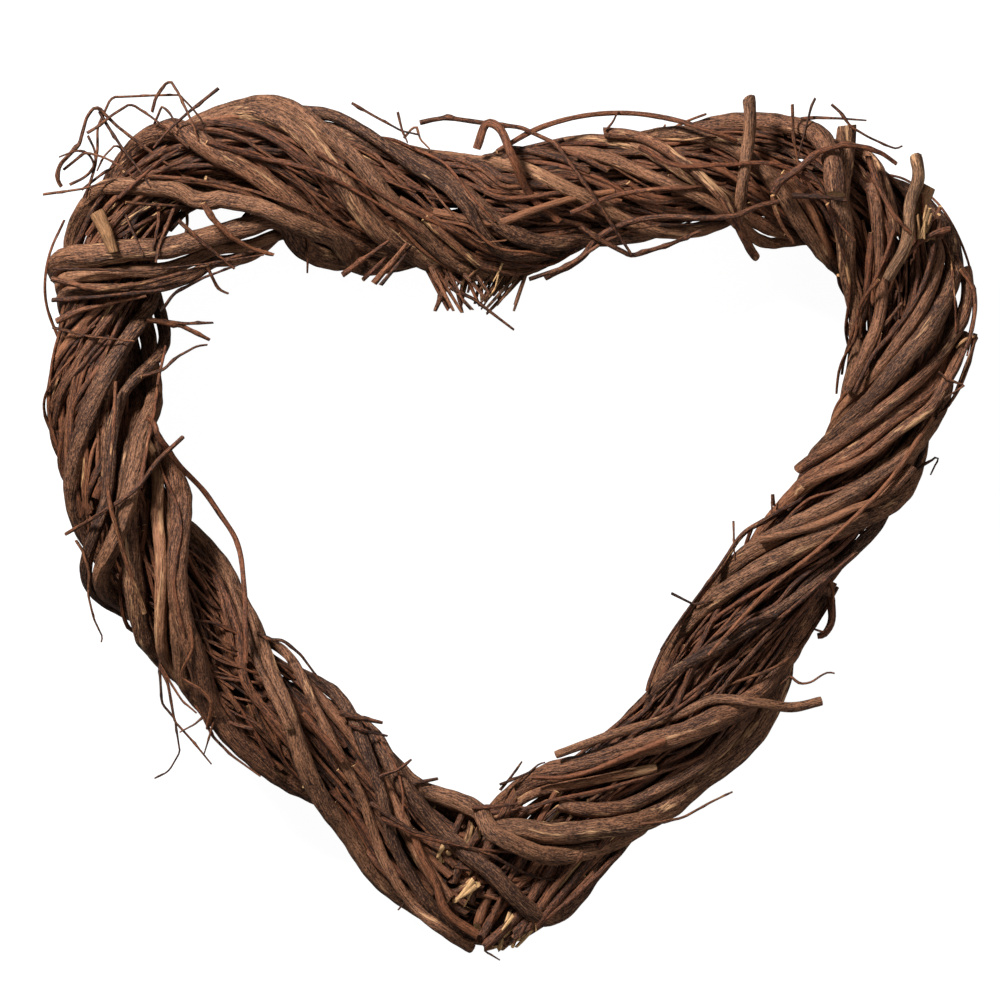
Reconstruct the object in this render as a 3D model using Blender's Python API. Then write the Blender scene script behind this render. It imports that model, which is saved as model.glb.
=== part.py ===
"""Heart wreath of rattan vine, lying on its back.

Two bundles of thin twigs are bent into the halves of a heart, and longer canes are wound round them.
+X runs across the heart, +Y from its tip to its dip, and +Z up to the viewer. The origin is on the
surface that the wreath lies on, under its middle.

A place on the wreath is told by three words. "Way" is the percent of the heart line, clockwise from
the dip. "Turn" is the angle round the bundle in degrees: 0 at the heart's outside, 90 on top, 180 at
its inside and 270 below. "Out" and "up" are steps from the heart line.
"""

import math

import bmesh
import bpy
import numpy as np
from mathutils import Vector

MM = 0.001
PERCENT = 0.01

# Driving sizes
LINE_WIDTH = 304.0 * MM
LINE_HEIGHT = 263.0 * MM
LINE_LENGTH = 0.5 * math.pi * (LINE_WIDTH + LINE_HEIGHT)
BUNDLE_RADIUS = 13.6 * MM
BUNDLE_DEPTH = 10.4 * MM
GROOVE_DEPTH = 1.6 * MM
THICK_CANE = 7.6 * MM
FULL_CANE = 6.4 * MM
MIDDLE_CANE = 5.4 * MM
SLIM_CANE = 4.4 * MM
THIN_CANE = 3.4 * MM
TENDRIL = 2.4 * MM

# Clearances
BUNDLE_GAP = 0.3 * MM
LAY_GAP = 0.7 * MM

# Ways, turns and steps
HEART_WAY = 1.0 / PERCENT
DIP_WAY = 0.0
TIP_WAY = 0.5 * HEART_WAY
FULL_TURN = 360.0
FREE_STEP = 1.0 * MM

# How the canes are wound and drawn
LAY_LENGTH = 31.0
BUNDLE_LOBES = 8
RING_STEP = 18.0 * MM
SAMPLE_STEP = 2.5 * MM
KNOT_STEP = 8.0 * MM
BEND_RADIUS = 55.0 * MM
EASING = 4.0 * MM
CHORD_ERROR = 0.45 * MM
LONGEST_CHORD = 30.0 * MM
LAY_PASSES = 40
TOUCH = 0.05 * MM
WAY_STEP = 0.2

# The heart line: way, across and up as shares of its width and height, girth, steps outwards
HEART_LINE = (
    (0.0, -0.004, 0.941, 1.32, -0.5),
    (3.3, 0.092, 0.974, 1.08, 0.0),
    (6.7, 0.191, 0.978, 1.10, 0.0),
    (10.0, 0.290, 1.000, 1.12, 0.0),
    (13.3, 0.387, 0.976, 1.15, 0.0),
    (16.7, 0.466, 0.911, 1.10, 0.0),
    (20.0, 0.498, 0.805, 1.02, 0.0),
    (23.3, 0.491, 0.688, 0.97, 0.0),
    (26.7, 0.454, 0.582, 0.97, 0.0),
    (30.0, 0.401, 0.486, 0.93, -1.0),
    (33.3, 0.341, 0.394, 1.00, -2.0),
    (36.7, 0.283, 0.299, 1.06, -2.0),
    (40.0, 0.228, 0.204, 1.00, -1.0),
    (43.3, 0.151, 0.131, 0.97, 0.0),
    (46.7, 0.074, 0.060, 1.15, 1.0),
    (50.0, -0.012, 0.000, 1.38, 5.0),
    (53.3, -0.104, 0.033, 1.05, 1.0),
    (56.7, -0.176, 0.115, 0.80, 0.0),
    (60.0, -0.251, 0.191, 0.93, 0.0),
    (63.3, -0.325, 0.267, 0.95, 0.0),
    (66.7, -0.385, 0.359, 1.03, 0.0),
    (70.0, -0.441, 0.454, 1.00, 0.0),
    (73.3, -0.482, 0.559, 0.84, 3.0),
    (76.7, -0.503, 0.672, 0.75, 4.0),
    (80.0, -0.495, 0.787, 0.77, 3.0),
    (83.3, -0.462, 0.892, 0.92, 4.5),
    (86.7, -0.394, 0.981, 0.90, 6.0),
    (90.0, -0.300, 0.996, 1.02, 4.5),
    (93.3, -0.201, 0.976, 1.12, 1.5),
    (96.7, -0.102, 0.953, 1.12, 0.0),
)

# Each cane's name, thickness and route. A knot with two numbers lies on the bundle at (way, turn);
# one with three stands free of it at (way, out, up). The canes are laid in this order, each on top
# of those before it, and a new pair of brackets starts one more turn round the bundle.
CANE_ROUTES = (
    ("cut_cane", MIDDLE_CANE, (
        ((36.8, -30), (38.3, 0), (39.6, 18), (41.1, 31), (42.4, 41), (43.7, 53), (45.2, 86), (46.2, 118)),)),
    ("bent_cane", FULL_CANE, (
        ((13.5, 27, 9), (13.8, 28), (14.3, 80), (15.6, 120), (17.6, 154), (20, 170), (22.5, 178),
         (25, 205), (27.5, 245)),)),
    ("wrap_cane_07", FULL_CANE, (
        ((16.5, -60), (19.8, -14), (21, 6), (22.7, 36), (24.5, 86), (26.5, 114), (29, 160), (32, 205),
         (35, 245)),)),
    ("wrap_cane_08", MIDDLE_CANE, (
        ((91, -60), (95, -10), (98, 12), (101, 33), (103, 88), (105, 125), (107, 160), (110, 210),
         (113, 250)),)),
    ("wrap_cane_09", MIDDLE_CANE, (
        ((13, -60), (17.5, -10), (19, 40), (21, 88), (23, 130), (24.6, 163), (27, 205), (29.5, 245)),)),
    ("wrap_cane_10", MIDDLE_CANE, (
        ((-1, -60), (3, -10), (5, 15), (6.5, 36), (8.5, 96), (10.5, 150), (13, 197), (16, 245)),)),
    ("wrap_cane_11", SLIM_CANE, (
        ((-4, -60), (1, 10), (4, 42), (7, 84), (9, 125), (11, 162), (13, 205), (15.5, 245)),)),
    ("wrap_cane_12", MIDDLE_CANE, (
        ((62.2, -20), (64, 4), (66, 52), (68, 90), (70, 130), (72.3, 172), (74.5, 208), (77, 245)),)),
    ("wrap_cane_13", SLIM_CANE, (
        ((64.4, -12), (65.6, 10), (67, 50), (69, 93), (71, 125), (73.3, 172), (75.5, 208), (78, 245)),)),
    ("wrap_cane_14", SLIM_CANE, (
        ((51.4, 62), (53, 86), (55.5, 117), (58, 148), (60.7, 174), (63, 205), (65.5, 240)),)),
    ("wrap_cane_15", THIN_CANE, (
        ((42, 72), (44.5, 118), (46.5, 155), (48, 178), (50, 203), (52, 232)),)),
    ("wrap_cane_16", THIN_CANE, (
        ((73, 85), (75, 112), (77.5, 138), (79, 165), (80.5, 192), (82.5, 228)),)),
    ("wrap_cane_17", THIN_CANE, (
        ((72, -50), (76, -5), (77, 36), (79, 90), (80.3, 116), (81.2, 134)),)),
    ("wrap_cane_18", THIN_CANE, (
        ((74, -50), (77.5, -5), (78.7, 40), (80, 78), (81, 104)),)),
    ("corner_cane_1", SLIM_CANE, (
        ((79.3, -58), (79.8, -34), (80.4, -5), (81, 70), (81.5, 122), (82.4, -18, 9), (83.8, -26, 6),
         (85.2, -30, 4), (87.3, -32, 3), (89.4, -31, 3), (92, 178), (94, 215), (96.5, 250)),)),
    ("corner_cane_2", SLIM_CANE, (
        ((80.1, -52), (80.5, -29), (81, 0), (81.6, 68), (82.2, 112), (83.1, -14, 11), (84.1, -21, 9),
         (85.6, -26, 7), (87.5, -27, 6), (89.4, -27, 6), (91.8, 165), (93.6, 205), (96, 245)),)),
    ("corner_cane_3", THICK_CANE, (
        ((81, -42), (81.3, -20), (81.8, 8), (82.3, 62), (83, 100), (84.2, -13, 14), (85.9, -21, 11),
         (87.8, -22, 9.5), (89.4, -20, 9), (91.4, 140), (93.2, 180), (95.5, 225)),)),
    ("side_cane_1", SLIM_CANE, (
        ((15.2, 50), (16.5, 86), (18, 106), (20, 122), (22, 136), (24, 150)),)),
    ("side_cane_2", SLIM_CANE, (
        ((11, -50), (14.6, 15), (15.8, 52), (17.2, 72)),)),
    ("side_cane_3", THIN_CANE, (
        ((58, 40), (60, 77), (63, 95), (65, 135), (67, 162), (69, 200), (71, 240)),)),
    ("wrap_cane_01", THICK_CANE, (
        ((31.5, -35), (35, 0), (37.5, 26), (39, 62), (41, 96), (44, 137), (47, 183)),
        ((57.5, -38), (60.5, 0), (63, 27), (65, 67), (67, 85), (69, 112), (71, 150), (73, 185)),
        ((85.5, -20), (87, 20), (88, 75), (90, 110), (92, 137), (94, 172), (96.5, 215)),
        ((110, -12), (111.5, 8), (113, 45), (114.2, 88)))),
    ("wrap_cane_03", FULL_CANE, (
        ((24.5, -35), (26.7, 0), (28.3, 43), (30, 81), (32, 111), (34.5, 145), (37, 180)),
        ((51, -35), (54, 0), (57, 35), (59, 67), (61, 102), (63, 136), (66, 180)),
        ((80, -75), (82.8, -32), (84.3, 5), (85, 52), (85.8, 92), (86.8, 128), (88.2, -9, 7),
         (90.2, -13, 10), (92, -17, 10), (93.4, -19, 5), (95.5, 200), (98, 240)),
        ((106, -15), (108, 15), (109, 40), (111.5, 96), (113.5, 140), (116, 178), (119, 215)))),
    ("wrap_cane_04", FULL_CANE, (
        ((13, -80), (17.3, -20), (18.9, 5), (20.4, 48), (22.2, 92), (24.4, 124), (26.8, 162), (29, 205)),
        ((41.5, -60), (44.4, -20), (46.5, 0), (48.2, 6), (48.9, 22), (49.4, 66), (50.1, 102), (51.8, 120),
         (53.6, 131), (55.7, 136), (58, 172), (60, 210)),
        ((70, -25), (72.5, 8), (74.5, 54), (76, 90), (77.8, 121), (79.5, 151), (81.2, 186), (83, 228)),
        ((92, -15), (94.5, 18), (97, 45), (99.5, 90), (101.5, 140), (104, 180), (107, 220)))),
    ("wrap_cane_05", THICK_CANE, (
        ((31, -90), (37, -15), (40.2, 0), (43.2, 27), (45.3, 63), (47.1, 94), (47.9, 120), (48.9, 142),
         (50.9, 170), (53.2, 192), (55.5, 220)),
        ((64.4, -40), (66.3, -8), (67.6, 20), (69, 52), (71.5, 90), (73.6, 132), (75.4, 174), (78, 220)),
        ((88.5, -25), (90, 10), (91.5, 45), (93.5, 90), (94.5, 118), (97, 165), (100, 210)))),
    ("wrap_cane_02", FULL_CANE, (
        ((22, -25), (24, 22), (26, 53), (28, 84), (30, 115), (33, 162)),
        ((41.5, -30), (44.1, 8), (45.9, 41), (47.1, 64), (48, 90), (48.9, 122), (50.9, 150), (53.2, 160),
         (55.5, 170), (57.5, 195), (59.5, 232)),
        ((67, -35), (69.2, 0), (70.3, 40), (71, 72), (72.7, 112), (75, 150), (77, 185)),
        ((89.3, -25), (91.4, 8), (93.2, 45), (95, 85), (97, 125), (99.5, 175), (102, 210)))),
    ("wrap_cane_06", SLIM_CANE, (
        ((21, -90), (27, -35), (29, 8), (31.5, 42), (34.5, 78), (36.5, 106), (38.5, 148), (41, 185)),
        ((50, -10), (51.5, 33), (53, 57), (55, 90), (57.8, 138), (59.8, 172), (62, 208)),
        ((69, -20), (71, 35), (73, 90), (75.5, 124), (77.3, 156), (79, 188), (81, 221)),
        ((91, -20), (94, 25), (96, 50), (98.5, 82), (100, 130), (102, 175), (104, 205)))),
    ("tip_cane", SLIM_CANE, (
        ((50.6, 30, 5), (51.3, 25, 12), (52.4, 34), (54, 48), (56, 76), (58, 105), (60, 136), (62, 172),
         (63.8, 208), (65.5, 245)),)),
    ("broken_stem", MIDDLE_CANE, (
        ((15.7, 31, 6), (16.1, 26, 10), (16.6, 44), (17.2, 54), (17.8, 78), (18.7, 102)),)),
    ("bent_stub", SLIM_CANE, (
        ((10.35, 27.5, 13), (10.4, 22, 14), (10.4, 62), (10.3, 90), (10.2, 115), (10.1, 138)),)),
    ("free_cane", THIN_CANE, (
        ((35.9, 37, 10), (36.8, 30, 12), (37.6, 17, 18), (38.6, 82), (40.5, 118), (42.7, -16, 16),
         (44.9, -23, 12)),)),
    ("dip_twig", THIN_CANE, (
        ((-1.2, 24, 13), (0.2, 34, 14), (0.9, 33, 15), (1.3, 19, 22), (1.5, 82), (2.2, 122)),)),
    ("arched_tendril_1", TENDRIL, (
        ((75.6, 150), (74.5, -21, 8), (73.0, -25, 6), (71.1, -30, 5), (70.0, -31, 5), (68.4, -31, 6),
         (66.5, -23, 12), (64.9, -14, 18), (63.8, -7, 20)),)),
    ("arched_tendril_2", TENDRIL, (
        ((0.5, 23, 12), (2.5, 26, 10), (5.5, 28.5, 8), (7.5, 26, 10), (9.0, 17, 15), (10.0, 60)),)),
    ("cross_tendril", TENDRIL, (
        ((74.2, -30, 12), (73.4, -18, 16), (72.6, -8, 20), (72.2, 7, 20), (72.0, 24, 13)),)),
)

BARK_BROWN = (0.105, 0.056, 0.032)
BARK_LIGHT = (0.185, 0.105, 0.058)
TWIG_BROWN = (0.080, 0.040, 0.024)
BARK_ROUGHNESS = 0.78


def clear_scene():
    """Remove every object that a new Blender scene brings."""
    for item in list(bpy.data.objects):
        bpy.data.objects.remove(item, do_unlink=True)


def hermite(knots, values, slopes, at):
    """Read the cubic curve through the values, with the given slope at each knot."""
    cell = np.clip(np.searchsorted(knots, at) - 1, 0, len(knots) - 2)
    width = knots[cell + 1] - knots[cell]
    share = (at - knots[cell]) / width
    if values.ndim > 1:
        width = width[:, None]
        share = share[:, None]
    rise = share ** 2 * (3.0 - 2.0 * share)
    leave = share * (1.0 - share) ** 2
    arrive = share ** 2 * (share - 1.0)
    blend = values[cell] + rise * (values[cell + 1] - values[cell])
    return blend + width * (leave * slopes[cell] + arrive * slopes[cell + 1])


def smooth_curve(knots, values, at):
    """Read a rounded curve through the values."""
    return hermite(knots, values, np.gradient(values, knots, axis=0), at)


def steady_curve(knots, values, at):
    """Read a curve through the values that never swings past them."""
    chord = np.diff(values) / np.diff(knots)
    before, after = chord[:-1], chord[1:]
    same_way = before * after > 0.0
    mean = np.where(same_way, 2.0 * before * after / np.where(same_way, before + after, 1.0), 0.0)
    return hermite(knots, values, np.concatenate(([chord[0]], mean, [chord[-1]])), at)


class HeartBundle:
    """The heart line and the oval bundle of twigs round it."""

    def __init__(self):
        rows = np.array(HEART_LINE)
        self.ways = np.concatenate([rows[:, 0] - HEART_WAY, rows[:, 0], rows[:, 0] + HEART_WAY])
        place = np.stack([rows[:, 1] * LINE_WIDTH, rows[:, 2] * LINE_HEIGHT], axis=1)
        self.places = np.tile(place, (3, 1))
        self.girths = np.tile(rows[:, 3], 3)
        self.shifts = np.tile(rows[:, 4] * FREE_STEP, 3)
        self.round = np.arange(0.0, HEART_WAY, WAY_STEP)
        self.round_middle = self.middle(self.round)
        self.round_outward = self.outward(self.round)

    def line(self, way):
        """Point of the heart line."""
        flat = smooth_curve(self.ways, self.places, np.mod(way, HEART_WAY))
        return np.column_stack([flat, np.zeros(len(flat))])

    def outward(self, way):
        """Level direction that points out of the heart."""
        along = self.line(way + 0.5 * WAY_STEP) - self.line(way - 0.5 * WAY_STEP)
        across = np.column_stack([-along[:, 1], along[:, 0], along[:, 2]])
        return across / np.linalg.norm(across, axis=1)[:, None]

    def girth(self, way):
        """Share of the bundle's usual thickness."""
        return smooth_curve(self.ways, self.girths, np.mod(way, HEART_WAY))

    def middle(self, way):
        """Middle of the bundle, which leaves the line where it swings out round the corner."""
        shift = smooth_curve(self.ways, self.shifts, np.mod(way, HEART_WAY))
        return self.line(way) + self.outward(way) * shift[:, None]

    def surface(self, way, turn):
        """Point on the bundle's oval and the direction straight off it."""
        angle = np.radians(turn)
        outward = self.outward(way)
        up = np.array([0.0, 0.0, 1.0])
        across = (self.girth(way) * BUNDLE_RADIUS)[:, None]
        depth = (self.girth(way) * BUNDLE_DEPTH)[:, None]
        cosine, sine = np.cos(angle)[:, None], np.sin(angle)[:, None]
        point = self.middle(way) + outward * across * cosine + up * depth * sine
        off = outward * depth * cosine + up * across * sine
        return point, off / np.linalg.norm(off, axis=1)[:, None]

    def free_point(self, way, out, up):
        """Point that stands free of the bundle."""
        ways = np.array([way])
        level = self.line(ways) + self.outward(ways) * out * FREE_STEP
        return level[0] + np.array([0.0, 0.0, up * FREE_STEP])

    def clearance(self, points, push, radius):
        """How far each point has to be pushed until a cane of this radius is off the bundle."""
        away = points[:, None, :] - self.round_middle[None, :, :]
        near = np.argmin(np.sum(away ** 2, axis=2), axis=1)
        rows = np.arange(len(points))
        outward = self.round_outward[near]
        girth = self.girth(self.round[near])
        wide = girth * BUNDLE_RADIUS + radius + LAY_GAP
        deep = girth * BUNDLE_DEPTH + radius + LAY_GAP
        out, up = np.sum(away[rows, near] * outward, axis=1) / wide, points[:, 2] / deep
        push_out, push_up = np.sum(push * outward, axis=1) / wide, push[:, 2] / deep
        square = push_out ** 2 + push_up ** 2
        half = out * push_out + up * push_up
        inside = half ** 2 - square * (out ** 2 + up ** 2 - 1.0)
        return np.where(inside > 0.0, (np.sqrt(np.maximum(inside, 0.0)) - half) / square, 0.0)


def lengths_along(points):
    """Length of the path from its start to each point."""
    return np.concatenate([[0.0], np.cumsum(np.linalg.norm(np.diff(points, axis=0), axis=1))])


def knots_on_bundle(bundle, knots, radius):
    """Points and push directions along a stretch of route that lies on the bundle."""
    ways, turns = np.array(knots, dtype=float).T
    if len(knots) > 1:
        forward = np.diff(ways) * PERCENT * LINE_LENGTH
        sideways = np.radians(np.diff(turns)) * BUNDLE_RADIUS
        travel = np.concatenate([[0.0], np.cumsum(np.hypot(forward, sideways))])
        at = np.linspace(0.0, travel[-1], max(2, int(travel[-1] / KNOT_STEP) + 1))
        ways, turns = steady_curve(travel, ways, at), steady_curve(travel, turns, at)
    point, off = bundle.surface(ways, turns)
    return point + off * (radius + LAY_GAP), off


def unwound(turns_of_route):
    """Join the route's turns round the bundle into one list, each a full turn on from the last."""
    knots = []
    for number, turn in enumerate(turns_of_route):
        for knot in turn:
            if len(knot) == 2:
                knots.append((knot[0], knot[1] + FULL_TURN * number))
            else:
                knots.append(knot)
    return knots


def follow_route(bundle, route, radius):
    """Evenly spaced points along a cane's route, with the direction in which each may be pushed."""
    points, pushes, stretch = [], [], []
    for knot in unwound(route) + [None]:
        if knot is not None and len(knot) == 2:
            stretch.append(knot)
            continue
        if stretch:
            on_points, on_pushes = knots_on_bundle(bundle, stretch, radius)
            points.extend(on_points)
            pushes.extend(on_pushes)
            stretch = []
        if knot is not None:
            points.append(bundle.free_point(*knot))
            pushes.append(np.array([0.0, 0.0, 1.0]))
    points, pushes = np.array(points), np.array(pushes)
    travel = lengths_along(points)
    at = np.linspace(0.0, travel[-1], int(travel[-1] / SAMPLE_STEP) + 2)
    push = np.column_stack([np.interp(at, travel, pushes[:, axis]) for axis in range(3)])
    return smooth_curve(travel, points, at), push / np.linalg.norm(push, axis=1)[:, None]


def stiffened(travel, needed):
    """Spread each rise along the cane, as a stiff cane bends over what it crosses."""
    apart = travel[:, None] - travel[None, :]
    bent = np.max(needed[None, :] - apart ** 2 / (2.0 * BEND_RADIUS), axis=1)
    weight = np.exp(-0.5 * (apart / EASING) ** 2)
    eased = (weight @ np.maximum(bent, 0.0)) / weight.sum(axis=1)
    return eased + EASING ** 2 / (2.0 * BEND_RADIUS)


def lay_cane(bundle, route, radius, laid):
    """Centre line of a cane pushed off the bundle and off the canes laid before it.

    A cane is lifted only as far as the first free space over what it would cut through.
    """
    points, push = follow_route(bundle, route, radius)
    travel = lengths_along(points)
    needed = bundle.clearance(points, push, radius)
    spots, middles, halves = np.zeros(0, dtype=int), np.zeros(0), np.zeros(0)
    for other_points, other_radius in laid:
        reach = radius + other_radius + LAY_GAP
        away = other_points[None, :, :] - points[:, None, :]
        ahead = np.einsum("ijk,ik->ij", away, push)
        beside = np.sum(away ** 2, axis=2) - ahead ** 2
        row, column = np.nonzero(beside < reach ** 2)
        spots = np.concatenate([spots, row])
        middles = np.concatenate([middles, ahead[row, column]])
        halves = np.concatenate([halves, np.sqrt(reach ** 2 - beside[row, column])])
    for _ in range(LAY_PASSES):
        height = stiffened(travel, needed)
        cut = np.abs(height[spots] - middles) < halves - TOUCH
        if not cut.any():
            break
        np.maximum.at(needed, spots[cut], (middles + halves)[cut])
    return points + push * height[:, None]


def drawn_points(points):
    """Fewer points along a path, closer together where it bends more.

    A chord under a bend leaves its arc by an eighth of the bend times the chord's square.
    """
    travel = lengths_along(points)
    bend = np.linalg.norm(np.gradient(np.gradient(points, travel, axis=0), travel, axis=0), axis=1)
    dense = np.maximum(np.sqrt(bend / (8.0 * CHORD_ERROR)), 1.0 / LONGEST_CHORD)
    count = np.concatenate([[0.0], np.cumsum(0.5 * (dense[1:] + dense[:-1]) * np.diff(travel))])
    at = np.interp(np.linspace(0.0, count[-1], int(math.ceil(count[-1])) + 1), count, travel)
    return np.column_stack([np.interp(at, travel, points[:, axis]) for axis in range(3)])


def bark_material(name, colour):
    """Plain bark for one piece."""
    material = bpy.data.materials.new(name)
    material.use_nodes = True
    shader = material.node_tree.nodes["Principled BSDF"]
    shader.inputs["Base Color"].default_value = (*colour, 1.0)
    shader.inputs["Roughness"].default_value = BARK_ROUGHNESS
    shader.inputs["Metallic"].default_value = 0.0
    return material


def add_piece(name, data, colour, collection, holder):
    """Put a named piece with its own material into the wreath."""
    data.materials.append(bark_material(name + "_bark", colour))
    piece = bpy.data.objects.new(name, data)
    piece.parent = holder
    collection.objects.link(piece)
    return piece


def cane_curve(name, points, radius):
    """Round cane along a path, with flat cut ends."""
    curve = bpy.data.curves.new(name, "CURVE")
    curve.dimensions = "3D"
    curve.bevel_depth = radius
    curve.bevel_resolution = 1 if radius > 0.5 * SLIM_CANE else 0
    curve.use_fill_caps = True
    spline = curve.splines.new("POLY")
    spline.points.add(len(points) - 1)
    for spot, point in zip(spline.points, points):
        spot.co = (*point, 1.0)
    return curve


def bundle_mesh(name, bundle, first_way, last_way):
    """Twisted, grooved loft for half of the heart, between two flat ends."""
    half_gap = 0.5 * BUNDLE_GAP / LINE_LENGTH / PERCENT
    rings = int(round((last_way - first_way) * PERCENT * LINE_LENGTH / RING_STEP)) + 1
    ways = np.linspace(first_way + half_gap, last_way - half_gap, rings)
    sides = 2 * BUNDLE_LOBES
    mesh = bmesh.new()
    grid = []
    for way in ways:
        turns = np.arange(sides) * FULL_TURN / sides + way * FULL_TURN / LAY_LENGTH
        points, off = bundle.surface(np.full(sides, way), turns)
        points[1::2] -= off[1::2] * GROOVE_DEPTH
        grid.append([mesh.verts.new(Vector(point)) for point in points])
    for ring, following in zip(grid, grid[1:]):
        for side in range(sides):
            beside = (side + 1) % sides
            mesh.faces.new((ring[side], ring[beside], following[beside], following[side]))
    mesh.faces.new(grid[0][::-1])
    mesh.faces.new(grid[-1])
    bmesh.ops.triangulate(mesh, faces=mesh.faces[:])
    bmesh.ops.recalc_face_normals(mesh, faces=mesh.faces[:])
    data = bpy.data.meshes.new(name)
    mesh.to_mesh(data)
    mesh.free()
    return data


def stand_on_origin(holder, pieces):
    """Move the wreath so that it lies on Z = 0 with its box centred on the origin."""
    bpy.context.view_layer.update()
    view = bpy.context.evaluated_depsgraph_get()
    corners = []
    for piece in pieces:
        shown = piece.evaluated_get(view)
        mesh = shown.to_mesh()
        corners.extend(tuple(vertex.co) for vertex in mesh.vertices)
        shown.to_mesh_clear()
    low, high = np.min(corners, axis=0), np.max(corners, axis=0)
    middle = 0.5 * (low + high)
    holder.location = (-middle[0], -middle[1], -low[2])


def build_wreath():
    """Model both twig bundles and every cane of the wreath."""
    clear_scene()
    collection = bpy.data.collections.new("heart_wreath")
    bpy.context.scene.collection.children.link(collection)
    holder = bpy.data.objects.new("wreath_origin", None)
    collection.objects.link(holder)
    bundle = HeartBundle()
    pieces = []
    halves = (("right_twig_bundle", DIP_WAY, TIP_WAY), ("left_twig_bundle", TIP_WAY, HEART_WAY))
    for name, first_way, last_way in halves:
        data = bundle_mesh(name, bundle, first_way, last_way)
        pieces.append(add_piece(name, data, TWIG_BROWN, collection, holder))
    laid = []
    for name, thickness, route in CANE_ROUTES:
        radius = 0.5 * thickness
        points = lay_cane(bundle, route, radius, laid)
        laid.append((points, radius))
        colour = BARK_LIGHT if thickness < MIDDLE_CANE else BARK_BROWN
        data = cane_curve(name, drawn_points(points), radius)
        pieces.append(add_piece(name, data, colour, collection, holder))
    stand_on_origin(holder, pieces)


build_wreath()
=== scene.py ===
"""Visual model of a heart wreath of rattan vine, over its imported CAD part.

Every cane of the part is replaced by a bark-covered one on the same path. The two solid twig bundles
are replaced by the twigs that they stand for, and thinner twigs and loose tendrils are laid on top.

A place on the wreath is told by three words. "Way" is the percent of the heart line, clockwise from
the dip. "Turn" is the angle round the bundle in degrees: 0 at the heart's outside, 90 on top, 180 at
its inside and 270 below. "Out" and "up" are steps from the heart line.
"""

from collections import namedtuple

import bpy
import numpy as np
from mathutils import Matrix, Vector


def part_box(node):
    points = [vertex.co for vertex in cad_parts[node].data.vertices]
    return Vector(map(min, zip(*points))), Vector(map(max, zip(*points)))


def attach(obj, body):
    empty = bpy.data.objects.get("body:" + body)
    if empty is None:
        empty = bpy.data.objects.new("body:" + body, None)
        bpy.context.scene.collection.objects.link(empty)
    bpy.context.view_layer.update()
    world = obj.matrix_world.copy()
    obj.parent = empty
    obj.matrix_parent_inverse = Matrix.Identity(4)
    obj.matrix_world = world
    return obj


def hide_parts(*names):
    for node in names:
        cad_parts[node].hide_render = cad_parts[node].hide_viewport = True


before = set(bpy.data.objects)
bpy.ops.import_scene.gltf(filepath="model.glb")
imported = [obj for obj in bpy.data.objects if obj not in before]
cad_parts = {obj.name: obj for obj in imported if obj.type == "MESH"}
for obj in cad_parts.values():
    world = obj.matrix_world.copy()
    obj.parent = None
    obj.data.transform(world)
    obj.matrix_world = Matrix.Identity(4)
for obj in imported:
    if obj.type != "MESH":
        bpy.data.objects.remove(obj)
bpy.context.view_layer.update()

MM = 0.001
PERCENT = 0.01
UP = np.array([0.0, 0.0, 1.0])
WHITE = (1.0, 1.0, 1.0, 1.0)
BLACK = (0.0, 0.0, 0.0, 1.0)

# Ways, turns and steps
HEART_WAY = 1.0 / PERCENT
TIP_WAY = 0.5 * HEART_WAY
FULL_TURN = 360.0
FREE_STEP = 1.0 * MM

# The heart line and the bundle of twigs round it, as in the part
LINE_WIDTH = 304.0 * MM
LINE_HEIGHT = 263.0 * MM
LINE_LENGTH = 0.5 * np.pi * (LINE_WIDTH + LINE_HEIGHT)
BUNDLE_RADIUS = 13.6 * MM
BUNDLE_DEPTH = 10.4 * MM

# Cane thicknesses, as in the part
THICK_CANE = 7.6 * MM
FULL_CANE = 6.4 * MM
MIDDLE_CANE = 5.4 * MM
SLIM_CANE = 4.4 * MM
THIN_CANE = 3.4 * MM
TENDRIL = 2.4 * MM

# How canes and twigs are laid. ROUNDING is the share of a tendril's course that is rounded at its
# kinks, and no twig lies lower than LIFT.
CANE_GAP = 0.7 * MM
TWIG_GAP = 0.2 * MM
CANE_BEND = 55.0 * MM
TWIG_BEND = 60.0 * MM
EASING = 4.0 * MM
SAMPLE_STEP = 2.5 * MM
KNOT_STEP = 8.0 * MM
WAY_STEP = 0.2
LAY_PASSES = 40
TOUCH = 0.05 * MM
LIFT = 0.1 * MM
ROUNDING = 0.05

# The photograph's scale and the pixel at the heart line's zero
PIXEL = 0.3784 * MM
PHOTO_MIDDLE = 502.0
PHOTO_TIP = 868.0
PHOTO_CENTRE = (500.0, 500.0)
PHOTO_PIXELS = 1000.0

# Rings of twigs in each bundle: share of the way out, which also scales the ring's tone so deeper rings
# get painted shade, count, least and greatest radius
BUNDLE_RINGS = (
    (0.2, 12, 2.2, 3.0),
    (0.48, 34, 1.6, 2.4),
    (0.72, 70, 0.9, 1.9),
    (0.9, 120, 0.6, 1.5),
    (1.0, 60, 0.5, 1.0),
)

# Thin twigs that pass under the canes: count, first and last way, least and greatest radius, turn of
# their lay for each way, how much that varies, and how high they may stand
UNDER_TWIGS = (
    (230, 53.5, 146.5, 0.4, 1.2, 14.0, 6.0, 3.2),
    (60, 1.0, 30.0, 0.5, 1.5, 15.0, 5.0, 3.2),
    (80, 70.0, 83.0, 0.5, 1.4, 32.0, 5.0, 3.0),
    (22, 71.0, 83.0, 1.1, 1.8, 33.0, 3.0, 2.0),
    (50, 70.0, 82.0, 0.6, 1.5, 12.0, 5.0, 4.5),
    (40, 82.0, 99.0, 0.5, 1.3, 16.0, 5.0, 3.2),
    (70, 95.0, 106.0, 0.6, 1.7, 11.0, 7.0, 5.0),
    (36, 50.5, 59.0, 0.8, 1.7, 7.0, 6.0, 1.0),
    (70, 61.0, 70.0, 0.3, 0.7, -13.0, 7.0, 3.8),
    (50, 30.0, 46.0, 0.4, 1.1, 3.0, 4.0, 3.0),
)

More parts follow.
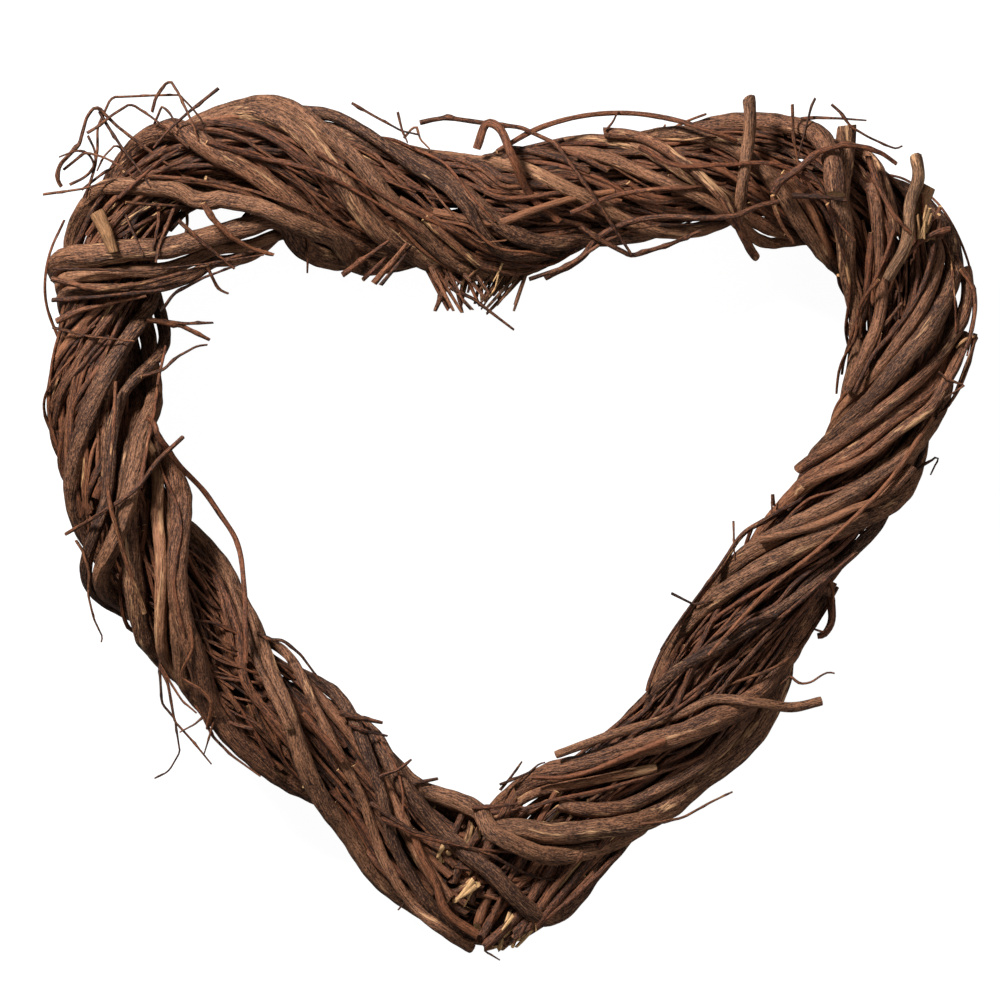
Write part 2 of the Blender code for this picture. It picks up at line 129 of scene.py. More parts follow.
# Torn ends: photo pixels across and down, height, heading, count, width, length, radius and bareness
TORN_ENDS = (
    ((921, 240), 15.0, 82.0, 9, 5.0, 13.0, 0.9, 0.4),
    ((931, 240), 12.0, 88.0, 4, 9.0, 21.0, 1.6, 0.0),
    ((441, 254), 3.0, 303.0, 26, 15.0, 24.0, 1.0, 0.0),
    ((512, 256), 3.0, 236.0, 30, 16.0, 24.0, 1.0, 0.05),
    ((478, 262), 0.0, 272.0, 14, 16.0, 18.0, 1.0, 0.0),
    ((506, 262), 9.0, 246.0, 2, 5.0, 17.0, 0.7, 0.9),
    ((476, 881), 14.0, 237.0, 3, 4.0, 13.0, 1.3, 0.9),
    ((512, 912), 12.0, 234.0, 3, 4.0, 16.0, 1.5, 0.9),
    ((531, 921), 9.0, 226.0, 4, 4.0, 15.0, 1.5, 0.9),
    ((449, 846), 14.0, 228.0, 3, 4.0, 8.0, 1.4, 0.8),
    ((560, 852), 12.0, 250.0, 2, 4.0, 8.0, 1.2, 0.8),
)

# Thickness of the bark canes as a share of the solids', bare wood and wear of some of them, and the
# ends of the names of the red-brown ones
USUAL_THICKNESS = 1.04
THINNER = {"cross_tendril": 0.7, "arched_tendril_1": 0.82, "arched_tendril_2": 0.82, "dip_twig": 0.9,
           "broken_stem": 0.85, "tip_cane": 0.85}
PEELED = {"broken_stem": 0.15}
WORN = {"tip_cane": 0.0, "broken_stem": 0.7}
RED_BROWN = ("tendril", "tendril_1", "tendril_2", "twig")

# The tip, where the right bundle's cut ends show: photo pixels across and down, the greatest length
# of the twigs that end there, and their heading
TIP_ENDS = ((434, 862, 24), (450, 892, 38), (468, 926, 52), (490, 948, 60), (512, 944, 60),
            (542, 918, 50))
TIP_HEADING = 234.0

# How each kind of twig is finished: sides of its section, step between its rings in mm, thickness at
# its first and last end, tone, warmth and wear of its bark, distance in mm and height of its knots,
# and slant of its cut ends
Skin = namedtuple("Skin", "sides step taper look knot_gap knot_size slant")
CANE_SKIN = Skin(28, 1.7, (1.07, 0.95), (0.5, 0.2, 0.42), 85.0, 0.16, 0.4)
TENDRIL_SKIN = Skin(14, 1.7, (1.07, 0.95), (0.5, 0.45, 0.42), 85.0, 0.16, 0.4)
SLIM_SKIN = Skin(14, 1.6, (1.08, 0.85), (0.5, 0.35, 0.4), 70.0, 0.18, 0.4)
TOP_SKIN = Skin(8, 1.6, (1.1, 0.75), (0.5, 0.5, 0.3), 28.0, 0.3, 0.4)
WOUND_SKIN = Skin(7, 2.0, (1.1, 0.7), (0.55, 0.6, 0.3), 30.0, 0.28, 0.4)
UNDER_SKIN = Skin(6, 3.5, (1.1, 0.75), (0.42, 0.5, 0.2), 30.0, 0.25, 0.4)
BUNDLE_SKIN = Skin(6, 5.0, (1.1, 0.8), (0.5, 0.5, 0.25), 45.0, 0.18, 0.4)
TIP_SKIN = Skin(9, 1.6, (1.0, 1.0), (0.45, 0.4, 0.4), 60.0, 0.18, 1.2)
LOOSE_SKIN = Skin(7, 1.5, (1.1, 0.6), (0.28, 0.4, 0.2), 15.0, 0.75, 0.4)
TORN_SKIN = Skin(6, 1.6, (1.15, 0.6), (0.4, 0.4, 0.5), 60.0, 0.18, 1.0)
LOOK_SPREAD = (0.16, 0.2, 0.22)

# Starting numbers of the random draws
CANE_SEED = 100
SLIM_SEED, TOP_SEED, WOUND_SEED, LOOSE_SEED, UNDER_SEED, TORN_SEED = 11, 12, 13, 14, 15, 16
RIGHT_SEED, LEFT_SEED, TIP_SEED = 21, 22, 31

# The bounds between which each kind of twig is drawn: radii, lengths and heights in mm, spans and
# starts in ways, a lay as its turn for each way and how much that varies, and a stray in degrees
ANY_ANGLE = (0.0, 6.3)

# Top twigs: from what thickness on one is a stub, and how bare a stub is
TOP_STUB, STUB_BARENESS = 4.5, 0.45

# Wound twigs
WOUND_COUNT, WOUND_KNOTS = 46, 5
WOUND_RADII, WOUND_SPANS = (0.4, 0.9), (3.0, 8.0)
WOUND_STARTS = (TIP_WAY + 4.0, TIP_WAY + HEART_WAY - 14.0)
WOUND_LAY, WOUND_STRAY = (15.0, 5.0), 7.0

# Twigs under the canes: how far round each goes, its longest span and share of its stretch, and the
# steady part and the wave of its height
UNDER_KNOTS, UNDER_STRAY = 7, 2.5
UNDER_TURNS, UNDER_LEAST_LAY = (60.0, 190.0), 10.0
UNDER_LONGEST, UNDER_SHARE = 10.0, 0.7
UNDER_STEADY, UNDER_WAVE, UNDER_WAVES = 0.6, 0.4, (2.0, 6.0)

# Twigs of the bundles: span and overhang past the bundle's ends, knots, the usual lay and that of the
# few that cross it, the sway of their turn, and that of their depth
BUNDLE_SPANS, BUNDLE_OVERHANG = (7.0, 20.0), 0.6
BUNDLE_KNOTS, BUNDLE_KNOTS_A_WAY = 6, 1.2
BUNDLE_LAY, CROSS_LAY, LAID_SHARE = (9.0, 4.5), (-7.0, 3.0), 0.85
BUNDLE_SWAY, SWAY_RATES, BUNDLE_STRAY = 5.0, (0.8, 2.5), 2.0
DEPTH_STRAY, DEPTH_WAVES, DEPTH_RATES = (-0.06, 0.03), (0.02, 0.08), (0.5, 1.5)

# Twigs at the tip: how far back they end, share of the greatest length, rise, bow, and the bare ones
TIP_COUNT, TIP_KNOTS = 150, 7
TIP_RADII, TIP_HEIGHTS, TIP_BACK = (0.8, 2.1), (-11.0, 14.0), (-2.0, 9.0)
TIP_STRAY, TIP_LENGTHS, TIP_RISE, TIP_BOW = 7.0, (0.5, 1.0), 2.0, 1.6
TIP_BARE_SHARE, TIP_BARENESS = 0.08, 0.8

# Loose twigs: share of the thickness in their table
LOOSE_THICKNESS = 0.46

# Torn ends: knots, stray, slope, bow, height, and shares of the width, length and radius in their
# table
TORN_KNOTS, TORN_STRAY, TORN_SLOPE, TORN_BOW = 5, 8.0, 0.2, 1.0
TORN_HEIGHTS, TORN_PLACES = (-2.0, 2.0), (-0.5, 0.5)
TORN_LENGTHS, TORN_RADII = (0.4, 1.0), (0.5, 1.1)

# A twig's relief as a share of its radius. Flutes: how many go round, and how deep each is beside the
# others. Swellings: their lengths in mm. Knots: bounds of their places and heights, their width as a
# share of the radius and a length on top, and how much higher one side stands. Ends: how far they
# are drawn in and dished, and how far apart in metres the twigs' marks are taken.
FLUTING, SWELLING = 0.05, 0.5
FLUTES = ((2, 1.0), (3, 0.7), (5, 0.45), (7, 0.5), (8, 0.5), (11, 0.6))
SIDES_A_FLUTE = 2.5
FLUTE_DRIFT, FLUTE_SWING, SWING_RATES = (-25.0, 25.0), (0.5, 1.5), (30.0, 90.0)
SWELLINGS, SWELLING_VARY = (60.0, 23.0, 9.0), (0.8, 1.25)
KNOT_STARTS, KNOT_GAPS, KNOT_SIZES = (0.2, 0.9), (0.55, 1.6), (0.4, 1.2)
KNOT_SHARE, KNOT_SPREAD = 0.7, 0.8 * MM
KNOT_BASE, KNOT_LEAN = 0.55, 0.45
END_WIDTH, END_DISH = 0.93, 0.1
GRAIN_SCATTER = (-3.0, 3.0)

# Marks on the bark: width in mm, how many times longer than wide, detail and roughness of the noise
FIBRE = (0.42, 8.0, 2.0, 0.6)
FLAKE = (0.4, 2.2, 2.0, 0.6)
RIPPLE = (1.5, 7.0, 2.0, 0.55)
MOTTLE = (6.0, 4.0, 2.0, 0.55)
CRACK = (0.9, 20.0, 1.0, 0.55)
RUB = (3.6, 6.0, 3.0, 0.65)

# From where to where the noise of a mark rises from 0 to 1
GRAIN_RISE, MOTTLE_RISE, CRACK_RISE = (0.38, 0.62), (0.3, 0.7), (0.34, 0.43)
RUB_RISE, WOOD_RISE = (0.86, 0.98), (0.3, 0.7)

# How much fibre and flake, mottle and tone count in the shade, how far warm and rubbed bark and
# the painted shade in the cracks show, what adds to the rubbing, how much light the painted shade in
# cracks and the dark wood keep, and what makes the relief
GRAIN_SHADE, MOTTLE_SHADE, TONE_SHADE = 0.38, 0.24, 0.7
WARM_SHARE, RUBBED_SHARE, CRACK_SHARE = 0.7, 0.65, 0.3
FIBRE_RUB, WEAR_RUB = 0.25, 0.26
CRACK_LIGHT, WOOD_LIGHT = 0.35, 0.5
FIBRE_HEIGHT, FLAKE_HEIGHT, RIPPLE_HEIGHT, CRACK_DEPTH = 0.8, 0.5, 0.9, 0.7
BARK_RELIEF = 0.6 * MM
BARK_ROUGHNESS, FIBRE_GLOSS, BARK_SPECULAR = 0.82, 0.3, 0.22

# Colours of the three barks as the eye reads them: dark, light, warm and pale, and their relief
BARKS = {
    "cane_bark": ((36, 17, 9), (140, 97, 69), (124, 68, 41), (190, 146, 106), 1.0),
    "tendril_bark": ((31, 14, 7), (126, 80, 52), (108, 54, 30), (186, 140, 96), 0.8),
    "bundle_twigs": ((26, 12, 6), (124, 79, 52), (106, 55, 32), (206, 162, 112), 0.8),
}

# Stage: the floor, the lens, and each lamp's place, width and power
FLOOR_WIDTH = 6.0
FLOOR_WHITE = 0.12
FLOOR_GLOW = 0.965
FLOOR_ROUGHNESS = 0.9
LENS = 300.0
SURROUND_LIGHT = 0.18
KEY_LAMP = ((-0.7, 0.95, 0.95), 0.35, 54.0)
FILL_LAMP = ((0.9, -0.4, 0.9), 0.9, 5.0)

# The heart line: way, across and up as shares of its width and height, girth, steps outwards
HEART_LINE = (
    (0.0, -0.004, 0.941, 1.32, -0.5),
    (3.3, 0.092, 0.974, 1.08, 0.0),
    (6.7, 0.191, 0.978, 1.10, 0.0),
    (10.0, 0.290, 1.000, 1.12, 0.0),
    (13.3, 0.387, 0.976, 1.15, 0.0),
    (16.7, 0.466, 0.911, 1.10, 0.0),
    (20.0, 0.498, 0.805, 1.02, 0.0),
    (23.3, 0.491, 0.688, 0.97, 0.0),
    (26.7, 0.454, 0.582, 0.97, 0.0),
    (30.0, 0.401, 0.486, 0.93, -1.0),
    (33.3, 0.341, 0.394, 1.00, -2.0),
    (36.7, 0.283, 0.299, 1.06, -2.0),
    (40.0, 0.228, 0.204, 1.00, -1.0),
    (43.3, 0.151, 0.131, 0.97, 0.0),
    (46.7, 0.074, 0.060, 1.15, 1.0),
    (50.0, -0.012, 0.000, 1.38, 5.0),
    (53.3, -0.104, 0.033, 1.05, 1.0),
    (56.7, -0.176, 0.115, 0.80, 0.0),
    (60.0, -0.251, 0.191, 0.93, 0.0),
    (63.3, -0.325, 0.267, 0.95, 0.0),
    (66.7, -0.385, 0.359, 1.03, 0.0),
    (70.0, -0.441, 0.454, 1.00, 0.0),
    (73.3, -0.482, 0.559, 0.84, 3.0),
    (76.7, -0.503, 0.672, 0.75, 4.0),
    (80.0, -0.495, 0.787, 0.77, 3.0),
    (83.3, -0.462, 0.892, 0.92, 4.5),
    (86.7, -0.394, 0.981, 0.90, 6.0),
    (90.0, -0.300, 0.996, 1.02, 4.5),
    (93.3, -0.201, 0.976, 1.12, 1.5),
    (96.7, -0.102, 0.953, 1.12, 0.0),
)

# Each cane's name, thickness and route. A knot with two numbers lies on the bundle at (way, turn);
# one with three stands free of it at (way, out, up). The canes are laid in this order, each on top
# of those before it, and a new pair of brackets starts one more turn round the bundle.
CANE_ROUTES = (
    ("cut_cane", MIDDLE_CANE, (
        ((36.8, -30), (38.3, 0), (39.6, 18), (41.1, 31), (42.4, 41), (43.7, 53), (45.2, 86),
         (46.2, 118)),)),
    ("bent_cane", FULL_CANE, (
        ((13.5, 27, 9), (13.8, 28), (14.3, 80), (15.6, 120), (17.6, 154), (20, 170), (22.5, 178),
         (25, 205), (27.5, 245)),)),
    ("wrap_cane_07", FULL_CANE, (
        ((16.5, -60), (19.8, -14), (21, 6), (22.7, 36), (24.5, 86), (26.5, 114), (29, 160), (32, 205),
         (35, 245)),)),
    ("wrap_cane_08", MIDDLE_CANE, (
        ((91, -60), (95, -10), (98, 12), (101, 33), (103, 88), (105, 125), (107, 160), (110, 210),
         (113, 250)),)),
    ("wrap_cane_09", MIDDLE_CANE, (
        ((13, -60), (17.5, -10), (19, 40), (21, 88), (23, 130), (24.6, 163), (27, 205), (29.5, 245)),)),
    ("wrap_cane_10", MIDDLE_CANE, (
        ((-1, -60), (3, -10), (5, 15), (6.5, 36), (8.5, 96), (10.5, 150), (13, 197), (16, 245)),)),
    ("wrap_cane_11", SLIM_CANE, (
        ((-4, -60), (1, 10), (4, 42), (7, 84), (9, 125), (11, 162), (13, 205), (15.5, 245)),)),
    ("wrap_cane_12", MIDDLE_CANE, (
        ((62.2, -20), (64, 4), (66, 52), (68, 90), (70, 130), (72.3, 172), (74.5, 208), (77, 245)),)),
    ("wrap_cane_13", SLIM_CANE, (
        ((64.4, -12), (65.6, 10), (67, 50), (69, 93), (71, 125), (73.3, 172), (75.5, 208), (78, 245)),)),
    ("wrap_cane_14", SLIM_CANE, (
        ((51.4, 62), (53, 86), (55.5, 117), (58, 148), (60.7, 174), (63, 205), (65.5, 240)),)),
    ("wrap_cane_15", THIN_CANE, (
        ((42, 72), (44.5, 118), (46.5, 155), (48, 178), (50, 203), (52, 232)),)),
    ("wrap_cane_16", THIN_CANE, (
        ((73, 85), (75, 112), (77.5, 138), (79, 165), (80.5, 192), (82.5, 228)),)),
    ("wrap_cane_17", THIN_CANE, (
        ((72, -50), (76, -5), (77, 36), (79, 90), (80.3, 116), (81.2, 134)),)),
    ("wrap_cane_18", THIN_CANE, (
        ((74, -50), (77.5, -5), (78.7, 40), (80, 78), (81, 104)),)),
    ("corner_cane_1", SLIM_CANE, (
        ((79.3, -58), (79.8, -34), (80.4, -5), (81, 70), (81.5, 122), (82.4, -18, 9), (83.8, -26, 6),
         (85.2, -30, 4), (87.3, -32, 3), (89.4, -31, 3), (92, 178), (94, 215), (96.5, 250)),)),
    ("corner_cane_2", SLIM_CANE, (
        ((80.1, -52), (80.5, -29), (81, 0), (81.6, 68), (82.2, 112), (83.1, -14, 11), (84.1, -21, 9),
         (85.6, -26, 7), (87.5, -27, 6), (89.4, -27, 6), (91.8, 165), (93.6, 205), (96, 245)),)),
    ("corner_cane_3", THICK_CANE, (
        ((81, -42), (81.3, -20), (81.8, 8), (82.3, 62), (83, 100), (84.2, -13, 14), (85.9, -21, 11),
         (87.8, -22, 9.5), (89.4, -20, 9), (91.4, 140), (93.2, 180), (95.5, 225)),)),
    ("side_cane_1", SLIM_CANE, (
        ((15.2, 50), (16.5, 86), (18, 106), (20, 122), (22, 136), (24, 150)),)),
    ("side_cane_2", SLIM_CANE, (
        ((11, -50), (14.6, 15), (15.8, 52), (17.2, 72)),)),
    ("side_cane_3", THIN_CANE, (
        ((58, 40), (60, 77), (63, 95), (65, 135), (67, 162), (69, 200), (71, 240)),)),
    ("wrap_cane_01", THICK_CANE, (
        ((31.5, -35), (35, 0), (37.5, 26), (39, 62), (41, 96), (44, 137), (47, 183)),
        ((57.5, -38), (60.5, 0), (63, 27), (65, 67), (67, 85), (69, 112), (71, 150), (73, 185)),
        ((85.5, -20), (87, 20), (88, 75), (90, 110), (92, 137), (94, 172), (96.5, 215)),
        ((110, -12), (111.5, 8), (113, 45), (114.2, 88)))),
    ("wrap_cane_03", FULL_CANE, (
        ((24.5, -35), (26.7, 0), (28.3, 43), (30, 81), (32, 111), (34.5, 145), (37, 180)),
        ((51, -35), (54, 0), (57, 35), (59, 67), (61, 102), (63, 136), (66, 180)),
        ((80, -75), (82.8, -32), (84.3, 5), (85, 52), (85.8, 92), (86.8, 128), (88.2, -9, 7),
         (90.2, -13, 10), (92, -17, 10), (93.4, -19, 5), (95.5, 200), (98, 240)),
        ((106, -15), (108, 15), (109, 40), (111.5, 96), (113.5, 140), (116, 178), (119, 215)))),
    ("wrap_cane_04", FULL_CANE, (
        ((13, -80), (17.3, -20), (18.9, 5), (20.4, 48), (22.2, 92), (24.4, 124), (26.8, 162), (29, 205)),
        ((41.5, -60), (44.4, -20), (46.5, 0), (48.2, 6), (48.9, 22), (49.4, 66), (50.1, 102),
         (51.8, 120), (53.6, 131), (55.7, 136), (58, 172), (60, 210)),
        ((70, -25), (72.5, 8), (74.5, 54), (76, 90), (77.8, 121), (79.5, 151), (81.2, 186), (83, 228)),
        ((92, -15), (94.5, 18), (97, 45), (99.5, 90), (101.5, 140), (104, 180), (107, 220)))),
    ("wrap_cane_05", THICK_CANE, (
        ((31, -90), (37, -15), (40.2, 0), (43.2, 27), (45.3, 63), (47.1, 94), (47.9, 120), (48.9, 142),
         (50.9, 170), (53.2, 192), (55.5, 220)),
        ((64.4, -40), (66.3, -8), (67.6, 20), (69, 52), (71.5, 90), (73.6, 132), (75.4, 174), (78, 220)),
        ((88.5, -25), (90, 10), (91.5, 45), (93.5, 90), (94.5, 118), (97, 165), (100, 210)))),
    ("wrap_cane_02", FULL_CANE, (
        ((22, -25), (24, 22), (26, 53), (28, 84), (30, 115), (33, 162)),
        ((41.5, -30), (44.1, 8), (45.9, 41), (47.1, 64), (48, 90), (48.9, 122), (50.9, 150), (53.2, 160),
         (55.5, 170), (57.5, 195), (59.5, 232)),
        ((67, -35), (69.2, 0), (70.3, 40), (71, 72), (72.7, 112), (75, 150), (77, 185)),
        ((89.3, -25), (91.4, 8), (93.2, 45), (95, 85), (97, 125), (99.5, 175), (102, 210)))),
    ("wrap_cane_06", SLIM_CANE, (
        ((21, -90), (27, -35), (29, 8), (31.5, 42), (34.5, 78), (36.5, 106), (38.5, 148), (41, 185)),
        ((50, -10), (51.5, 33), (53, 57), (55, 90), (57.8, 138), (59.8, 172), (62, 208)),
        ((69, -20), (71, 35), (73, 90), (75.5, 124), (77.3, 156), (79, 188), (81, 221)),
        ((91, -20), (94, 25), (96, 50), (98.5, 82), (100, 130), (102, 175), (104, 205)))),
    ("tip_cane", SLIM_CANE, (
        ((50.6, 30, 5), (51.3, 25, 12), (52.4, 34), (54, 48), (56, 76), (58, 105), (60, 136), (62, 172),
         (63.8, 208), (65.5, 245)),)),
    ("broken_stem", MIDDLE_CANE, (
        ((15.7, 31, 6), (16.1, 26, 10), (16.6, 44), (17.2, 54), (17.8, 78), (18.7, 102)),)),
    ("bent_stub", SLIM_CANE, (
        ((10.35, 27.5, 13), (10.4, 22, 14), (10.4, 62), (10.3, 90), (10.2, 115), (10.1, 138)),)),
    ("free_cane", THIN_CANE, (
        ((35.9, 37, 10), (36.8, 30, 12), (37.6, 17, 18), (38.6, 82), (40.5, 118), (42.7, -16, 16),
         (44.9, -23, 12)),)),
    ("dip_twig", THIN_CANE, (
        ((-1.2, 24, 13), (0.2, 34, 14), (0.9, 33, 15), (1.3, 19, 22), (1.5, 82), (2.2, 122)),)),
    ("arched_tendril_1", TENDRIL, (
        ((75.6, 150), (74.5, -21, 8), (73.0, -25, 6), (71.1, -30, 5), (70.0, -31, 5), (68.4, -31, 6),
         (66.5, -23, 12), (64.9, -14, 18), (63.8, -7, 20)),)),
    ("arched_tendril_2", TENDRIL, (
        ((0.5, 23, 12), (2.5, 26, 10), (5.5, 28.5, 8), (7.5, 26, 10), (9.0, 17, 15), (10.0, 60)),)),
    ("cross_tendril", TENDRIL, (
        ((74.2, -30, 12), (73.4, -18, 16), (72.6, -8, 20), (72.2, 7, 20), (72.0, 24, 13)),)),
)

# Canes too slim for the part's solids: thickness and (way, turn) knots
SLIM_ROUTES = (
    (4.0, ((4.5, 20), (6, 30), (7, 45), (8, 75), (9, 105), (10, 130), (11.5, 165))),
    (5.0, ((19, -5), (21, 25), (23.7, 90), (25.5, 118), (28.5, 165))),
    (4.0, ((21, 8), (22.5, 35), (24, 55), (25, 77), (26, 88), (27.5, 115), (29, 145))),
    (3.5, ((26, 40), (27.7, 54), (28.5, 73), (29.5, 90), (30.5, 108), (32, 140))),
    (3.0, ((60.5, 90), (62, 106), (63.5, 122), (65, 140), (67, 165))),
)

# Thin twigs on top: thickness and (way, photo pixels outwards) knots
TOP_ROUTES = (
    (2.0, ((2.8, -22), (5, -8), (6.3, -3), (8, -8), (9.5, -12))),
    (2.5, ((1, -73), (3, -65), (4, -52), (5, -40), (6, -32), (7, -32), (8, -40), (9, -45), (10, -45),
           (11, -35), (12, -25))),
    (2.0, ((18, 45), (19, 27), (20, 8), (21, -12), (22, -30), (23, -38), (24, -42))),
    (1.6, ((19, 63), (19.5, 71), (21, 66), (22, 55), (23, 45))),
    (1.6, ((21, 72), (22, 66), (23, 58), (24, 45))),
    (2.0, ((30.2, -45), (31, -52), (32, -62), (34, -60), (36, -62), (37.7, -62), (39, -58), (40, -52))),
    (2.0, ((34, 12), (34.5, 0), (35, -8), (36, -15))),
    (3.0, ((32, 45), (33, 62), (33.5, 62), (33.7, 58))),
    (2.2, ((41, -5), (42, -12), (43, -18), (44, -25), (45.5, -42), (46.5, -58))),
    (3.4, ((50.5, 65), (51.5, 45), (52, 25), (53, 5), (54, -10))),
    (2.8, ((58, -10), (60.5, -20))),
    (1.6, ((17.7, 55), (17.8, 30), (18, 15), (18.4, 0), (18.7, -8))),
    (5.0, ((16.5, 70), (16.8, 50), (17.0, 35))),
    (5.0, ((83.8, 45), (83.3, 25), (82.8, 10))),
    (1.8, ((6, 40), (7.5, 18), (9.5, 6), (11.5, 10), (13, 4))),
    (1.6, ((92, 30), (94, 12), (96, -6), (98, -20), (99.5, -44))),
    (1.8, ((88, 34), (90, 16), (92, 12), (95, -8), (97, -28))),
    (1.6, ((60, 40), (62, 22), (64.5, 10), (67, -14), (69, -22))),
    (1.8, ((68, 34), (70.5, 18), (73, 6), (75, -12), (77.5, -20))),
    (1.6, ((30, 38), (33, 22), (36, 4), (39, -14), (42, -30))),
    (1.8, ((24, 40), (27, 26), (30, 10), (33.5, -10), (37, -22))),
)

